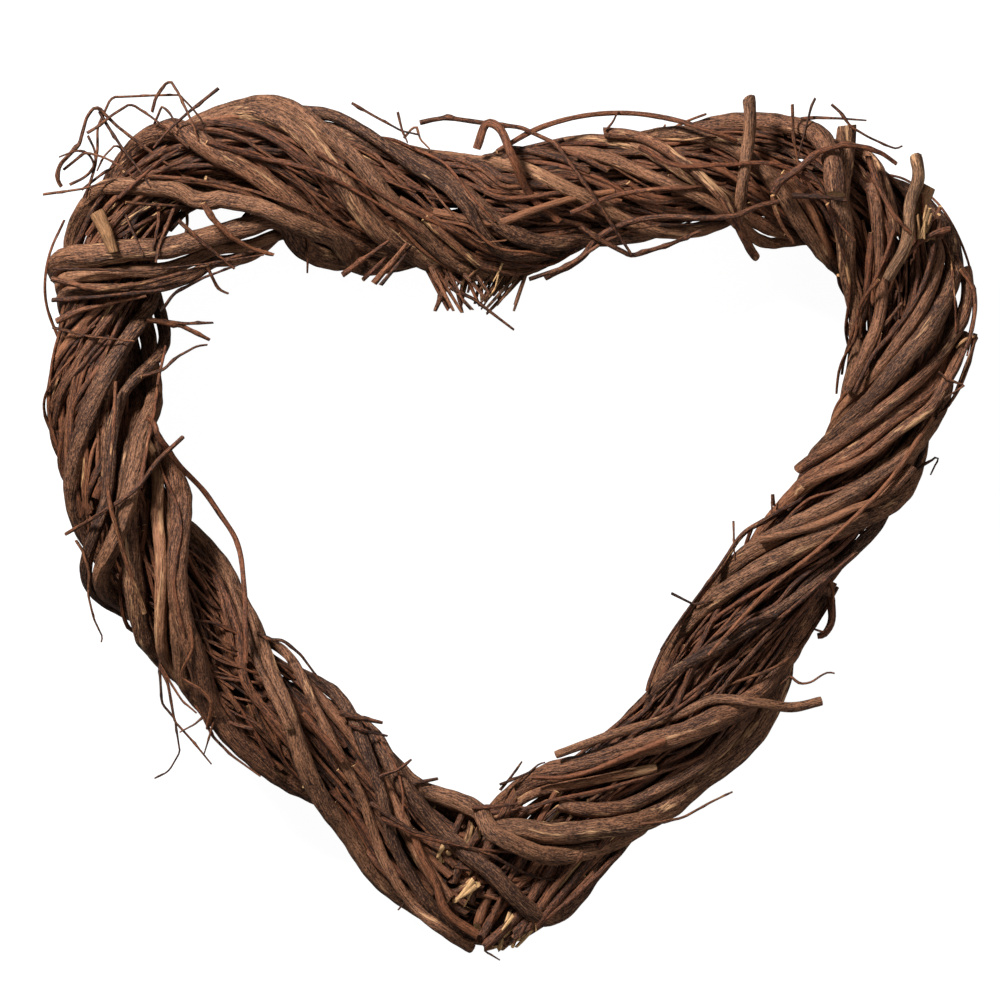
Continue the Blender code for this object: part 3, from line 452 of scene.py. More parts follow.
# Loose twigs: thickness, height at both ends in mm, and photo pixels across and down
LOOSE_ROUTES = (
    (1.2, 6, 9, ((44, 195), (82, 190), (95, 187), (118, 180))),
    (1.6, 4, 10, ((62, 187), (58, 180), (60, 166), (80, 145), (88, 117), (97, 107), (118, 127), (150, 152),
                  (175, 170), (196, 186))),
    (1.3, 8, 12, ((88, 134), (97, 129), (115, 115), (132, 105), (152, 118), (172, 133), (190, 150))),
    (1.3, 2, 9, ((86, 196), (94, 172), (98, 150), (98, 128), (112, 98), (134, 97), (160, 96), (180, 96),
                 (192, 108), (203, 122), (206, 140))),
    (1.4, 9, 11, ((153, 113), (157, 98), (168, 84), (171, 82), (180, 95), (187, 110), (194, 125),
                  (200, 142))),
    (1.1, 4, 9, ((155, 125), (163, 108), (170, 113), (180, 130), (190, 148))),
    (1.4, 14, 16, ((220, 90), (205, 102), (190, 114), (170, 132), (155, 150))),
    (1.2, 3, 8, ((70, 185), (85, 178), (95, 168), (92, 157), (83, 151), (75, 152), (60, 158))),
    (1.2, 3, 10, ((64, 170), (86, 153), (104, 158), (118, 165), (140, 182))),
    (1.2, 2, 8, ((82, 190), (100, 176), (116, 166), (124, 150), (116, 146), (104, 158), (98, 172))),
    (1.3, 6, 14, ((100, 112), (108, 126), (124, 150), (140, 170), (152, 188))),
    (1.1, 0, 6, ((88, 136), (95, 150), (96, 166), (92, 180), (84, 198))),
    (1.7, 16, 17, ((120, 200), (140, 182), (160, 164), (182, 150))),
    (1.6, 17, 14, ((150, 178), (182, 180), (216, 184), (252, 192), (290, 206), (330, 222))),
    (1.4, 18, 10, ((128, 204), (150, 206), (178, 207), (196, 206))),
    (2.4, 12, 14, ((205, 205), (216, 222), (232, 238), (252, 250), (275, 256))),
    (1.7, 12, 12, ((180, 222), (200, 240), (226, 262), (236, 270))),
    (1.6, 4, 12, ((176, 206), (170, 224), (162, 244), (158, 264))),
    (1.6, 5, 12, ((160, 206), (160, 226), (155, 250))),
    (1.2, 6, 14, ((124, 210), (136, 236), (145, 256))),
    (1.6, -2, 2, ((186, 206), (188, 222), (186, 236))),
    (2.2, -3, 0, ((252, 208), (240, 222), (228, 234))),
    (1.4, 10, 8, ((162, 312), (175, 294), (205, 278), (240, 265))),
    (1.6, 9, 6, ((207, 265), (214, 280), (219, 290), (229, 294))),
    (1.7, 3, 5, ((148, 320), (185, 324), (214, 323))),
    (2.4, 5, 4, ((148, 320), (180, 325), (210, 340))),
    (1.4, 4, 4, ((142, 377), (164, 370), (178, 357), (198, 346), (208, 345))),
    (1.2, 4, 2, ((78, 540), (85, 551), (91, 572), (90, 595), (95, 618), (104, 639), (102, 642))),
    (1.1, 0, 4, ((160, 660), (160, 669), (162, 703), (175, 719), (180, 752), (169, 771), (155, 778))),
    (1.2, 2, 4, ((160, 668), (168, 683), (175, 721), (194, 742), (212, 764))),
    (1.2, 2, 3, ((160, 664), (171, 683), (182, 700), (197, 713))),
    (1.1, 3, 4, ((212, 708), (203, 717), (195, 724), (180, 732))),
    (1.1, 4, 2, ((216, 716), (213, 727), (205, 753))),
    (1.3, 5, 5, ((196, 706), (203, 715), (213, 736), (232, 755), (261, 776))),
    (1.4, 6, 8, ((258, 632), (270, 639), (284, 640), (301, 654), (321, 681))),
    (2.4, 3, 4, ((340, 712), (355, 716), (383, 722))),
    (1.7, 2, 3, ((350, 724), (366, 730), (388, 735))),
    (1.6, 3, 4, ((380, 775), (400, 768), (412, 758))),
    (2.4, 1, 3, ((395, 790), (418, 782), (438, 778))),
    (1.2, 2, 5, ((500, 790), (510, 778), (522, 761))),
    (1.2, 4, 4, ((500, 784), (511, 780), (529, 772), (540, 763), (545, 762))),
    (1.3, 5, 6, ((640, 822), (657, 821), (682, 816), (710, 801), (732, 791))),
    (1.2, 4, 5, ((780, 684), (790, 676), (798, 683), (809, 683), (826, 672), (834, 673))),
    (1.2, 2, 4, ((828, 580), (833, 590), (832, 621), (823, 632), (812, 628))),
    (1.4, 7, 8, ((800, 500), (782, 509), (740, 535), (717, 569), (691, 604), (671, 632), (660, 650))),
    (1.0, 3, 4, ((774, 506), (772, 491), (771, 518))),
    (1.0, 2, 3, ((733, 521), (734, 560))),
    (1.2, 4, 6, ((671, 593), (693, 604), (712, 600))),
    (1.2, 4, 5, ((955, 255), (963, 269), (975, 290), (972, 317), (967, 339))),
    (1.2, 3, 6, ((955, 348), (963, 340), (976, 336), (967, 359), (948, 406), (936, 416))),
    (1.1, 3, 3, ((936, 372), (944, 380), (962, 386), (942, 399))),
    (1.1, 2, 3, ((916, 470), (925, 464), (939, 456), (930, 475))),
    (1.3, 8, 9, ((800, 120), (812, 119), (838, 120), (865, 122))),
    (1.3, 8, 7, ((830, 106), (839, 114), (849, 128), (868, 139), (894, 150), (901, 147))),
    (1.3, 14, 12, ((791, 106), (792, 139), (801, 186), (806, 210))),
    (1.1, 12, 14, ((814, 100), (810, 108), (802, 139), (796, 160))),
    (2.0, 10, 10, ((420, 124), (433, 121), (447, 119), (482, 124), (521, 129), (555, 145), (590, 193),
                   (605, 217), (631, 256))),
    (1.2, 8, 10, ((352, 104), (376, 118), (402, 132), (420, 136))),
    (1.1, 9, 10, ((398, 113), (402, 130), (408, 144))),
    (1.2, 9, 9, ((404, 139), (416, 126), (421, 141), (430, 150))),
    (1.2, 8, 7, ((605, 132), (612, 124), (618, 112))),
    (1.7, 8, 10, ((529, 280), (568, 267), (603, 243), (633, 230), (660, 226))),
    (2.4, 12, 12, ((580, 228), (599, 241), (631, 257), (670, 245), (700, 232))),
    (2.6, 3, 2, ((450, 272), (445, 288), (435, 311))),
    (1.6, 4, 3, ((452, 280), (458, 295), (463, 313))),
    (1.6, 6, 4, ((450, 288), (473, 299), (514, 330))),
    (2.4, 2, 1, ((343, 276), (373, 254), (390, 242))),
    (1.7, 4, 3, ((363, 280), (386, 258), (400, 244))),
    (2.6, 1, 2, ((374, 284), (395, 260), (408, 244))),
    (1.7, 6, 4, ((381, 286), (397, 267), (412, 246))),
    (1.4, 8, 5, ((308, 232), (309, 243), (308, 274))),
    (1.9, 14, 14, ((371, 801), (413, 829), (447, 839), (474, 847), (493, 854), (522, 870), (541, 877),
                   (564, 878))),
    (1.6, 14, 14, ((382, 816), (417, 833), (447, 841), (482, 848), (508, 850), (531, 848))),
    (1.9, 10, 10, ((472, 806), (495, 805), (518, 802))),
    (1.9, 10, 14, ((491, 812), (524, 808), (552, 799), (608, 787), (638, 778))),
    (1.1, 16, 16, ((55, 270), (145, 272), (208, 265), (265, 256))),
    (2.3, 14, 14, ((54, 280), (100, 291), (139, 286), (184, 274), (262, 250))),
    (1.9, 12, 16, ((54, 301), (100, 298), (139, 294), (166, 291))),
    (2.4, 12, 16, ((58, 322), (85, 310), (124, 301), (148, 297))),
    (1.2, 12, 14, ((54, 328), (91, 337), (136, 342))),
    (3.0, 16, 18, ((771, 196), (776, 186), (798, 170), (815, 155), (842, 147), (862, 150), (880, 156),
                   (894, 166))),
    (2.2, 16, 14, ((771, 197), (774, 212), (781, 228), (793, 245))),
    (2.6, 20, 20, ((790, 198), (806, 199), (826, 200), (843, 203))),
    (2.2, 16, 14, ((948, 230), (936, 233), (919, 241), (904, 258), (888, 276))),
    (2.6, 18, 14, ((866, 158), (874, 184), (890, 216), (908, 236))),
    (1.0, 2, 1, ((487, 940), (484, 950), (500, 960))),
    (1.2, 1, 1, ((410, 898), (404, 903), (398, 910))),
)


def hermite(knots, values, slopes, at):
    """Cubic curve through the values, with the given slope at each knot. With s the share of the
    cell, the value rises as 3 s squared less 2 s cubed, and the slopes at the cell's start and end
    add s times (1 - s) squared and s squared times (s - 1)."""
    cell = np.clip(np.searchsorted(knots, at) - 1, 0, len(knots) - 2)
    width = knots[cell + 1] - knots[cell]
    share = (at - knots[cell]) / width
    if values.ndim > 1:
        width = width[:, None]
        share = share[:, None]
    rise = share ** 2 * (3.0 - 2.0 * share)
    leave = share * (1.0 - share) ** 2
    arrive = share ** 2 * (share - 1.0)
    blend = values[cell] + rise * (values[cell + 1] - values[cell])
    return blend + width * (leave * slopes[cell] + arrive * slopes[cell + 1])


def smooth_curve(knots, values, at):
    """Rounded curve through the values: each slope is that of the parabola through three knots."""
    return hermite(knots, values, np.gradient(values, knots, axis=0), at)


def steady_curve(knots, values, at):
    """Curve through the values that never swings past them: each slope is the harmonic mean of its
    two chords, or none where they point opposite ways."""
    chord = np.diff(values) / np.diff(knots)
    before, after = chord[:-1], chord[1:]
    same_way = before * after > 0.0
    mean = np.where(same_way, 2.0 * before * after / np.where(same_way, before + after, 1.0), 0.0)
    return hermite(knots, values, np.concatenate(([chord[0]], mean, [chord[-1]])), at)


def unit(vectors):
    """The same directions with length 1."""
    return vectors / np.linalg.norm(vectors, axis=-1, keepdims=True)


class HeartBundle:
    """The heart line and the oval bundle of twigs round it."""

    def __init__(self):
        rows = np.array(HEART_LINE)
        self.ways = np.concatenate([rows[:, 0] - HEART_WAY, rows[:, 0], rows[:, 0] + HEART_WAY])
        place = np.stack([rows[:, 1] * LINE_WIDTH, rows[:, 2] * LINE_HEIGHT], axis=1)
        self.places = np.tile(place, (3, 1))
        self.girths = np.tile(rows[:, 3], 3)
        self.shifts = np.tile(rows[:, 4] * FREE_STEP, 3)
        self.round = np.arange(0.0, HEART_WAY, WAY_STEP)
        self.round_middle = self.middle(self.round)
        self.round_outward = self.outward(self.round)

    def line(self, way):
        """Point of the heart line."""
        flat = smooth_curve(self.ways, self.places, np.mod(way, HEART_WAY))
        return np.column_stack([flat, np.zeros(len(flat))])

    def outward(self, way):
        """Level direction that points out of the heart: the line's own direction, a quarter turn on."""
        along = self.line(way + 0.5 * WAY_STEP) - self.line(way - 0.5 * WAY_STEP)
        return unit(np.column_stack([-along[:, 1], along[:, 0], along[:, 2]]))

    def girth(self, way):
        """Share of the bundle's usual thickness."""
        return smooth_curve(self.ways, self.girths, np.mod(way, HEART_WAY))

    def middle(self, way):
        """Middle of the bundle, which leaves the line where it swings out round the corner."""
        shift = smooth_curve(self.ways, self.shifts, np.mod(way, HEART_WAY))
        return self.line(way) + self.outward(way) * shift[:, None]

    def surface(self, way, turn, share=1.0):
        """Point at a share of the way out to the bundle's oval, and the direction straight off it:
        middle + outward * width * cos(turn) + up * depth * sin(turn)."""
        angle = np.radians(turn)[:, None]
        outward = self.outward(way)
        across = (self.girth(way) * BUNDLE_RADIUS)[:, None]
        depth = (self.girth(way) * BUNDLE_DEPTH)[:, None]
        spread = np.broadcast_to(np.asarray(share, dtype=float), way.shape)[:, None]
        oval = outward * across * np.cos(angle) + UP * depth * np.sin(angle)
        off = unit(outward * depth * np.cos(angle) + UP * across * np.sin(angle))
        return self.middle(way) + oval * spread, off

    def free_point(self, way, out, up):
        """Point that stands free of the bundle."""
        ways = np.array([way])
        level = self.line(ways) + self.outward(ways) * out * FREE_STEP
        return level[0] + UP * up * FREE_STEP

    def clearance(self, points, push, radius, gap):
        """How far each point has to be pushed until a cane of this radius is off the bundle: the
        larger root of the quadratic that says where its path leaves the widened oval."""
        away = points[:, None, :] - self.round_middle[None, :, :]
        near = np.argmin(np.sum(away ** 2, axis=2), axis=1)
        rows = np.arange(len(points))
        outward = self.round_outward[near]
        girth = self.girth(self.round[near])
        wide = girth * BUNDLE_RADIUS + radius + gap
        deep = girth * BUNDLE_DEPTH + radius + gap
        out, up = np.sum(away[rows, near] * outward, axis=1) / wide, points[:, 2] / deep
        push_out, push_up = np.sum(push * outward, axis=1) / wide, push[:, 2] / deep
        square = push_out ** 2 + push_up ** 2
        half = out * push_out + up * push_up
        inside = half ** 2 - square * (out ** 2 + up ** 2 - 1.0)
        return np.where(inside > 0.0, (np.sqrt(np.maximum(inside, 0.0)) - half) / square, 0.0)


def lengths_along(points):
    """Length of the path from its start to each point."""
    return np.concatenate([[0.0], np.cumsum(np.linalg.norm(np.diff(points, axis=0), axis=1))])


def knots_on_bundle(bundle, knots, radius, gap):
    """Points and push directions along a stretch of route that lies on the bundle, at even steps of
    the way and turn travelled together."""
    ways, turns = np.array(knots, dtype=float).T
    if len(knots) > 1:
        forward = np.diff(ways) * PERCENT * LINE_LENGTH
        sideways = np.radians(np.diff(turns)) * BUNDLE_RADIUS
        travel = np.concatenate([[0.0], np.cumsum(np.hypot(forward, sideways))])
        at = np.linspace(0.0, travel[-1], max(2, int(travel[-1] / KNOT_STEP) + 1))
        ways, turns = steady_curve(travel, ways, at), steady_curve(travel, turns, at)
    point, off = bundle.surface(ways, turns)
    return point + off * (radius + gap), off


def unwound(turns_of_route):
    """Join the route's turns round the bundle into one list, each a full turn on from the last."""
    knots = []
    for number, turn in enumerate(turns_of_route):
        for knot in turn:
            if len(knot) == 2:
                knots.append((knot[0], knot[1] + FULL_TURN * number))
            else:
                knots.append(knot)
    return knots


def follow_route(bundle, route, radius, gap):
    """Evenly spaced points along a cane's route, with the direction in which each may be pushed."""
    points, pushes, stretch = [], [], []
    for knot in unwound(route) + [None]:
        if knot is not None and len(knot) == 2:
            stretch.append(knot)
            continue
        if stretch:
            on_points, on_pushes = knots_on_bundle(bundle, stretch, radius, gap)
            points.extend(on_points)
            pushes.extend(on_pushes)
            stretch = []
        if knot is not None:
            points.append(bundle.free_point(*knot))
            pushes.append(UP)
    return evenly(np.array(points), np.array(pushes))


def evenly(points, pushes):
    """The same rounded path and its push directions at even steps."""
    travel = lengths_along(points)
    at = np.linspace(0.0, travel[-1], int(travel[-1] / SAMPLE_STEP) + 2)
    push = np.column_stack([np.interp(at, travel, pushes[:, axis]) for axis in range(3)])
    return smooth_curve(travel, points, at), unit(push)


def stiffened(travel, needed, bend):
    """Spread each rise along the cane, as a stiff cane bends over what it crosses: the highest of the
    parabolas that stand on the rises, evened out with a bell curve."""
    apart = travel[:, None] - travel[None, :]
    bent = np.max(needed[None, :] - apart ** 2 / (2.0 * bend), axis=1)
    weight = np.exp(-0.5 * (apart / EASING) ** 2)
    eased = (weight @ np.maximum(bent, 0.0)) / weight.sum(axis=1)
    return eased + EASING ** 2 / (2.0 * bend)


def lay(bundle, points, push, radius, laid, gap, bend):
    """Path pushed off the bundle and off what was laid before it, only as far as the first free space.

    Each near point of another cane forbids a span of heights: its own height over the path, give or
    take the root of the reach squared less its distance beside the path squared.
    """
    travel = lengths_along(points)
    needed = bundle.clearance(points, push, radius, gap)
    spots, middles, halves = np.zeros(0, dtype=int), np.zeros(0), np.zeros(0)
    for other_points, other_radius in laid:
        reach = radius + other_radius + gap
        away = other_points[None, :, :] - points[:, None, :]
        ahead = np.einsum("ijk,ik->ij", away, push)
        beside = np.sum(away ** 2, axis=2) - ahead ** 2
        row, column = np.nonzero(beside < reach ** 2)
        spots = np.concatenate([spots, row])
        middles = np.concatenate([middles, ahead[row, column]])
        halves = np.concatenate([halves, np.sqrt(reach ** 2 - beside[row, column])])
    for _ in range(LAY_PASSES):
        height = stiffened(travel, needed, bend)
        cut = np.abs(height[spots] - middles) < halves - TOUCH
        if not cut.any():
            break
        np.maximum.at(needed, spots[cut], (middles + halves)[cut])
    return points + push * height[:, None]


def settle(bundle, points, push, radius, laid, gap, bend):
    """Lay a path and keep it among what was laid, for those that come later."""
    path = lay(bundle, points, push, radius, laid, gap, bend)
    laid.append((path, radius))
    return path


def relief_of(rng, turned, length, radius, skin):
    """How far the skin stands off a plain round twig, as a share of its radius: flutes, which are
    cosines of a few times the angle that drift and swing along the twig, slow swellings, which are
    sines along it, and knots, which are bells round their places, fuller on one side."""
    sides = turned.shape[1]
    relief = np.zeros((len(length), sides))
    for times, depth in FLUTES:
        if SIDES_A_FLUTE * times > sides:
            break
        drift, swing = rng.uniform(*FLUTE_DRIFT), rng.uniform(*FLUTE_SWING)
        swing = swing * np.sin(length * rng.uniform(*SWING_RATES) + rng.uniform(*ANY_ANGLE))
        relief += depth * FLUTING * np.cos(times * turned + drift * length + swing
                                           + rng.uniform(*ANY_ANGLE))
    for wave in SWELLINGS:
        pitch = 2.0 * np.pi / (wave * MM * rng.uniform(*SWELLING_VARY))
        relief += SWELLING * FLUTING * np.sin(pitch * length + rng.uniform(*ANY_ANGLE))
    gap = skin.knot_gap * MM
    knot = rng.uniform(*KNOT_STARTS) * gap
    while knot < length[-1, 0]:
        bell = np.exp(-((length - knot) / (KNOT_SHARE * radius + KNOT_SPREAD)) ** 2)
        lean = KNOT_BASE + KNOT_LEAN * np.cos(turned - rng.uniform(*ANY_ANGLE))
        relief += skin.knot_size * rng.uniform(*KNOT_SIZES) * bell * lean
        knot += gap * rng.uniform(*KNOT_GAPS)
    return relief


class TwigSheaf:
    """The surfaces of many canes or twigs, gathered into one mesh.

    Beside its place, each point keeps three things for the bark: "grain", its place in a straight
    cane that lies along Z; "look", the twig's tone, warmth and wear, where the tone of the deeper
    bundle twigs also holds painted shade; and "cut", 1 on bare wood.
    """

    def __init__(self):
        self.parts = []
        self.count = 0

    def add(self, points, hint, radius, rng, look, skin, peeled=0.0):
        """Carry a bark section along a path and close its two ends.

        A point of the skin is path + (side * cos(angle) + over * sin(angle)) * radius * taper *
        (1 + relief), where side and over are the two directions square to the path. Each end is a
        slanted cut with a slight dish, made of triangles round its middle.
        """
        sides = skin.sides
        travel = lengths_along(points)
        stations = max(3, int(travel[-1] / (skin.step * MM)) + 2)
        at = np.linspace(0.0, travel[-1], stations)
        path = smooth_curve(travel, points, at)
        ahead = unit(np.gradient(path, at, axis=0))
        hints = np.column_stack([np.interp(at, travel, hint[:, axis]) for axis in range(3)])
        side = unit(hints - ahead * np.sum(hints * ahead, axis=1)[:, None])
        over = np.cross(ahead, side)
        angle = np.arange(sides) * 2.0 * np.pi / sides
        turned, length = angle[None, :], at[:, None]
        size = np.interp(at, (0.0, travel[-1]), skin.taper)[:, None] * radius
        spread = size * (1.0 + relief_of(rng, turned, length, radius, skin))
        spread[[0, -1]] *= END_WIDTH
        level = spread[:, :, None] * (side[:, None, :] * np.cos(turned)[:, :, None]
                                      + over[:, None, :] * np.sin(turned)[:, :, None])
        surface = path[:, None, :] + level
        ends = ((0, -1), (-1, 1))
        for end, way in ends:
            slant = rng.uniform(-skin.slant, skin.slant)
            tilt = slant * spread[end] * np.cos(angle + rng.uniform(*ANY_ANGLE))
            surface[end] += way * ahead[end] * tilt[:, None]
        grain = np.stack([spread * np.cos(turned), spread * np.sin(turned),
                          np.broadcast_to(length, spread.shape)], axis=2)
        here = np.arange(stations * sides).reshape(stations, sides)
        there = np.roll(here, -1, axis=1)
        quads = np.stack([here[:-1], there[:-1], there[1:], here[1:]], axis=2).reshape(-1, 4)
        places, grains = [surface.reshape(-1, 3)], [grain.reshape(-1, 3)]
        triangles, first = [], stations * sides
        for end, way in ends:
            rim = first + np.arange(sides)
            middle = np.full(sides, first + sides)
            triangles.append(np.stack([middle, *(rim, np.roll(rim, -1))[::way]], axis=1))
            dish = way * ahead[end] * END_DISH * radius
            places.extend([surface[end], surface[end].mean(axis=0)[None, :] - dish])
            grains.extend([grain[end], grain[end].mean(axis=0)[None, :]])
            first += sides + 1
        place = np.concatenate(places)
        place[:, 2] = np.maximum(place[:, 2], LIFT)
        bare = np.full(len(place), peeled)
        bare[stations * sides:] = 1.0
        scatter = rng.uniform(*GRAIN_SCATTER, 3)
        self.parts.append((place, np.concatenate(grains) + scatter, np.tile(look, (len(place), 1)),
                           bare, quads + self.count, np.concatenate(triangles) + self.count))
        self.count += len(place)

    def piece(self, name, material, replaced=()):
        """Make the mesh and the object, which rides on the wreath's one body."""
        place, grain, look, bare, quads, triangles = (np.concatenate(part) for part in zip(*self.parts))
        mesh = bpy.data.meshes.new(name)
        mesh.vertices.add(len(place))
        mesh.vertices.foreach_set("co", place.astype(np.float32).ravel())
        corners = np.concatenate([quads.ravel(), triangles.ravel()])
        mesh.loops.add(len(corners))
        mesh.loops.foreach_set("vertex_index", corners.astype(np.int32))
        starts = np.concatenate([np.arange(len(quads)) * 4,
                                 len(quads) * 4 + np.arange(len(triangles)) * 3])
        mesh.polygons.add(len(starts))
        mesh.polygons.foreach_set("loop_start", starts.astype(np.int32))
        mesh.polygons.foreach_set("use_smooth", np.ones(len(starts), dtype=bool))
        mesh.update(calc_edges=True)
        for label, kind, key, values in (("grain", "FLOAT_VECTOR", "vector", grain),
                                         ("look", "FLOAT_VECTOR", "vector", look),
                                         ("cut", "FLOAT", "value", bare)):
            layer = mesh.attributes.new(label, kind, "POINT")
            layer.data.foreach_set(key, values.astype(np.float32).ravel())
        mesh.materials.append(material)
        made = placed(name, mesh)
        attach(made, "root")
        if replaced:
            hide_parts(*replaced)


def placed(name, data):
    """An object in the scene that shows this mesh, lamp or camera."""
    made = bpy.data.objects.new(name, data)
    bpy.context.scene.collection.objects.link(made)
    return made


class Value:
    """A number or colour that changes over a surface. Sums and products of it add Math nodes."""

    def __init__(self, surface, socket):
        self.surface = surface
        self.socket = socket

    def combined(self, operation, first, second):
        """Math node on two values or numbers."""
        made = self.surface.node("ShaderNodeMath", {"operation": operation}, {0: first, 1: second})
        return Value(self.surface, made.outputs[0])

    def __add__(self, other):
        return self.combined("ADD", self, other)

    def __radd__(self, other):
        return self.combined("ADD", other, self)

    def __sub__(self, other):
        return self.combined("SUBTRACT", self, other)

    def __rsub__(self, other):
        return self.combined("SUBTRACT", other, self)

    def __mul__(self, other):
        return self.combined("MULTIPLY", self, other)

    def __rmul__(self, other):
        return self.combined("MULTIPLY", other, self)

    def risen(self, low, high):
        """0 below low, 1 above high, and a smooth rise between them."""
        made = self.surface.node("ShaderNodeMapRange", {"interpolation_type": "SMOOTHSTEP"},
                                 {"Value": self, "From Min": low, "From Max": high})
        return Value(self.surface, made.outputs["Result"])


class Surface:
    """One material and the nodes that make it."""

    def __init__(self, name):
        self.material = bpy.data.materials.new(name)
        self.material.use_nodes = True
        self.shader = self.material.node_tree.nodes["Principled BSDF"]

    def node(self, kind, settings, inputs):
        """Add a node, set it up and feed its sockets with numbers or links."""
        made = self.material.node_tree.nodes.new(kind)
        for key, value in settings.items():
            setattr(made, key, value)
        for key, value in inputs.items():
            self.feed(made.inputs[key], value)
        return made

    def feed(self, socket, value):
        """Link a value to a socket, or set the socket to a plain number or colour."""
        if isinstance(value, Value):
            self.material.node_tree.links.new(value.socket, socket)
        else:
            socket.default_value = value

    def finish(self, inputs):
        """Feed the shader's own sockets and hand over the material."""
        for name, value in inputs.items():
            self.feed(self.shader.inputs[name], value)
        return self.material

    def kept(self, name, output="Vector"):
        """What the mesh keeps at each point under this name."""
        made = self.node("ShaderNodeAttribute", {"attribute_name": name}, {})
        return Value(self, made.outputs[output])

    def marks(self, grain, kind):
        """Random marks of one kind, from 0 to 1: noise on the grain's place, drawn out along it."""
        width, stretch, detail, roughness = kind
        drawn_out = self.node("ShaderNodeVectorMath", {"operation": "MULTIPLY"},
                              {0: grain, 1: (1.0, 1.0, 1.0 / stretch)})
        made = self.node("ShaderNodeTexNoise", {},
                         {"Vector": Value(self, drawn_out.outputs["Vector"]),
                          "Scale": 1.0 / (width * MM), "Detail": detail, "Roughness": roughness})
        return Value(self, made.outputs["Fac"])

    def mixed(self, share, first, second):
        """Colour that goes from the first to the second."""
        made = self.node("ShaderNodeMix", {"data_type": "RGBA"}, {0: share, 6: first, 7: second})
        return Value(self, made.outputs[2])


def colour(red, green, blue):
    """A colour given as the eye reads it on a screen, from 0 to 255, as the light that a shader
    needs: the usual screen curve, undone."""
    share = np.array([red, green, blue]) / 255.0
    light = np.where(share > 0.04045, ((share + 0.055) / 1.055) ** 2.4, share / 12.92)
    return (*light.tolist(), 1.0)


def shaded(tint, share):
    """The same colour with only a share of its light."""
    return (*(share * part for part in tint[:3]), 1.0)


def bark(name, dark, light, warm, pale, relief):
    """Dry bark: fibres, flakes, cracks painted dark as shade in their hollows, and mottling along
    the cane, rubbed patches, and bare wood.
    """
    dark, light, warm, pale = (colour(*tint) for tint in (dark, light, warm, pale))
    surface = Surface(name)
    grain = surface.kept("grain")
    look = surface.node("ShaderNodeSeparateXYZ", {}, {0: surface.kept("look")})
    tone, warmth, wear = (Value(surface, look.outputs[axis]) for axis in range(3))
    bare = surface.kept("cut", "Fac")
    fibre, flake, ripple, mottle, rub = (surface.marks(grain, kind)
                                         for kind in (FIBRE, FLAKE, RIPPLE, MOTTLE, RUB))
    crack = 1.0 - surface.marks(grain, CRACK).risen(*CRACK_RISE)
    shade = (fibre.risen(*GRAIN_RISE) * GRAIN_SHADE + flake.risen(*GRAIN_RISE) * GRAIN_SHADE
             + mottle.risen(*MOTTLE_RISE) * MOTTLE_SHADE)
    shade = (shade + (tone - 0.5) * TONE_SHADE).risen(0.0, 1.0)
    base = surface.mixed(shade, dark, light)
    base = surface.mixed(warmth * WARM_SHARE, base, surface.mixed(shade, dark, warm))
    rubbed = (rub + fibre * FIBRE_RUB + wear * WEAR_RUB).risen(*RUB_RISE)
    base = surface.mixed(rubbed * RUBBED_SHARE, base, pale)
    # Painted shade: the cracks, which the bump also sinks, are painted darker in their hollows
    base = surface.mixed(crack * CRACK_SHARE * (1.0 - rubbed), base, shaded(dark, CRACK_LIGHT))
    wood = surface.mixed(fibre.risen(*WOOD_RISE), shaded(pale, WOOD_LIGHT), pale)
    height = fibre * FIBRE_HEIGHT + flake * FLAKE_HEIGHT + ripple * RIPPLE_HEIGHT - crack * CRACK_DEPTH
    bump = surface.node("ShaderNodeBump", {},
                        {"Strength": relief, "Distance": BARK_RELIEF, "Height": height})
    return surface.finish({"Base Color": surface.mixed(bare, base, wood),
                           "Roughness": BARK_ROUGHNESS - fibre * FIBRE_GLOSS,
                           "Normal": Value(surface, bump.outputs["Normal"]),
                           "Specular IOR Level": BARK_SPECULAR})


def in_frame(canes):
    """Where the heart line's zero lies in the frame: the mean step from the middle of each cane's path
    here to the middle of the same cane's box there."""
    steps = []
    for name, points, _, _ in canes:
        low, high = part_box(name)
        steps.append(0.5 * (np.array(low) + np.array(high) - points.min(axis=0) - points.max(axis=0)))
    return np.mean(steps, axis=0)


def photo_place(across, down, up):
    """Place under a pixel of the photograph, in the heart line's own frame."""
    return np.array([(across - PHOTO_MIDDLE) * PIXEL, (PHOTO_TIP - down) * PIXEL, up * MM])


def kinked(points):
    """Evenly spaced points on a path that bends sharply at its knots, as a dry tendril does: mostly the
    straight path, with a share of the rounded one."""
    travel = lengths_along(points)
    at = np.linspace(0.0, travel[-1], int(travel[-1] / SAMPLE_STEP) + 2)
    straight = np.column_stack([np.interp(at, travel, points[:, axis]) for axis in range(3)])
    return (1.0 - ROUNDING) * straight + ROUNDING * smooth_curve(travel, points, at)


def least_followed(points):
    """The axis that a path follows least, as the hint from which its sections are turned."""
    ahead = np.abs(unit(np.gradient(points, axis=0))).max(axis=0)
    return np.tile(np.eye(3)[int(np.argmin(ahead))], (len(points), 1))


def look_of(rng, usual):
    """Tone, warmth and wear of one twig, each a little off the usual."""
    return np.clip(rng.normal(usual, LOOK_SPREAD), 0.0, 1.0)


def lay_canes(bundle):
    """Paths, push directions and radii of the part's canes, laid as the part lays them."""
    laid, canes = [], []
    for name, thickness, route in CANE_ROUTES:
        radius = 0.5 * thickness
        points, push = follow_route(bundle, route, radius, CANE_GAP)
        path = settle(bundle, points, push, radius, laid, CANE_GAP, CANE_BEND)
        canes.append((name, path, push, radius))
    return laid, canes


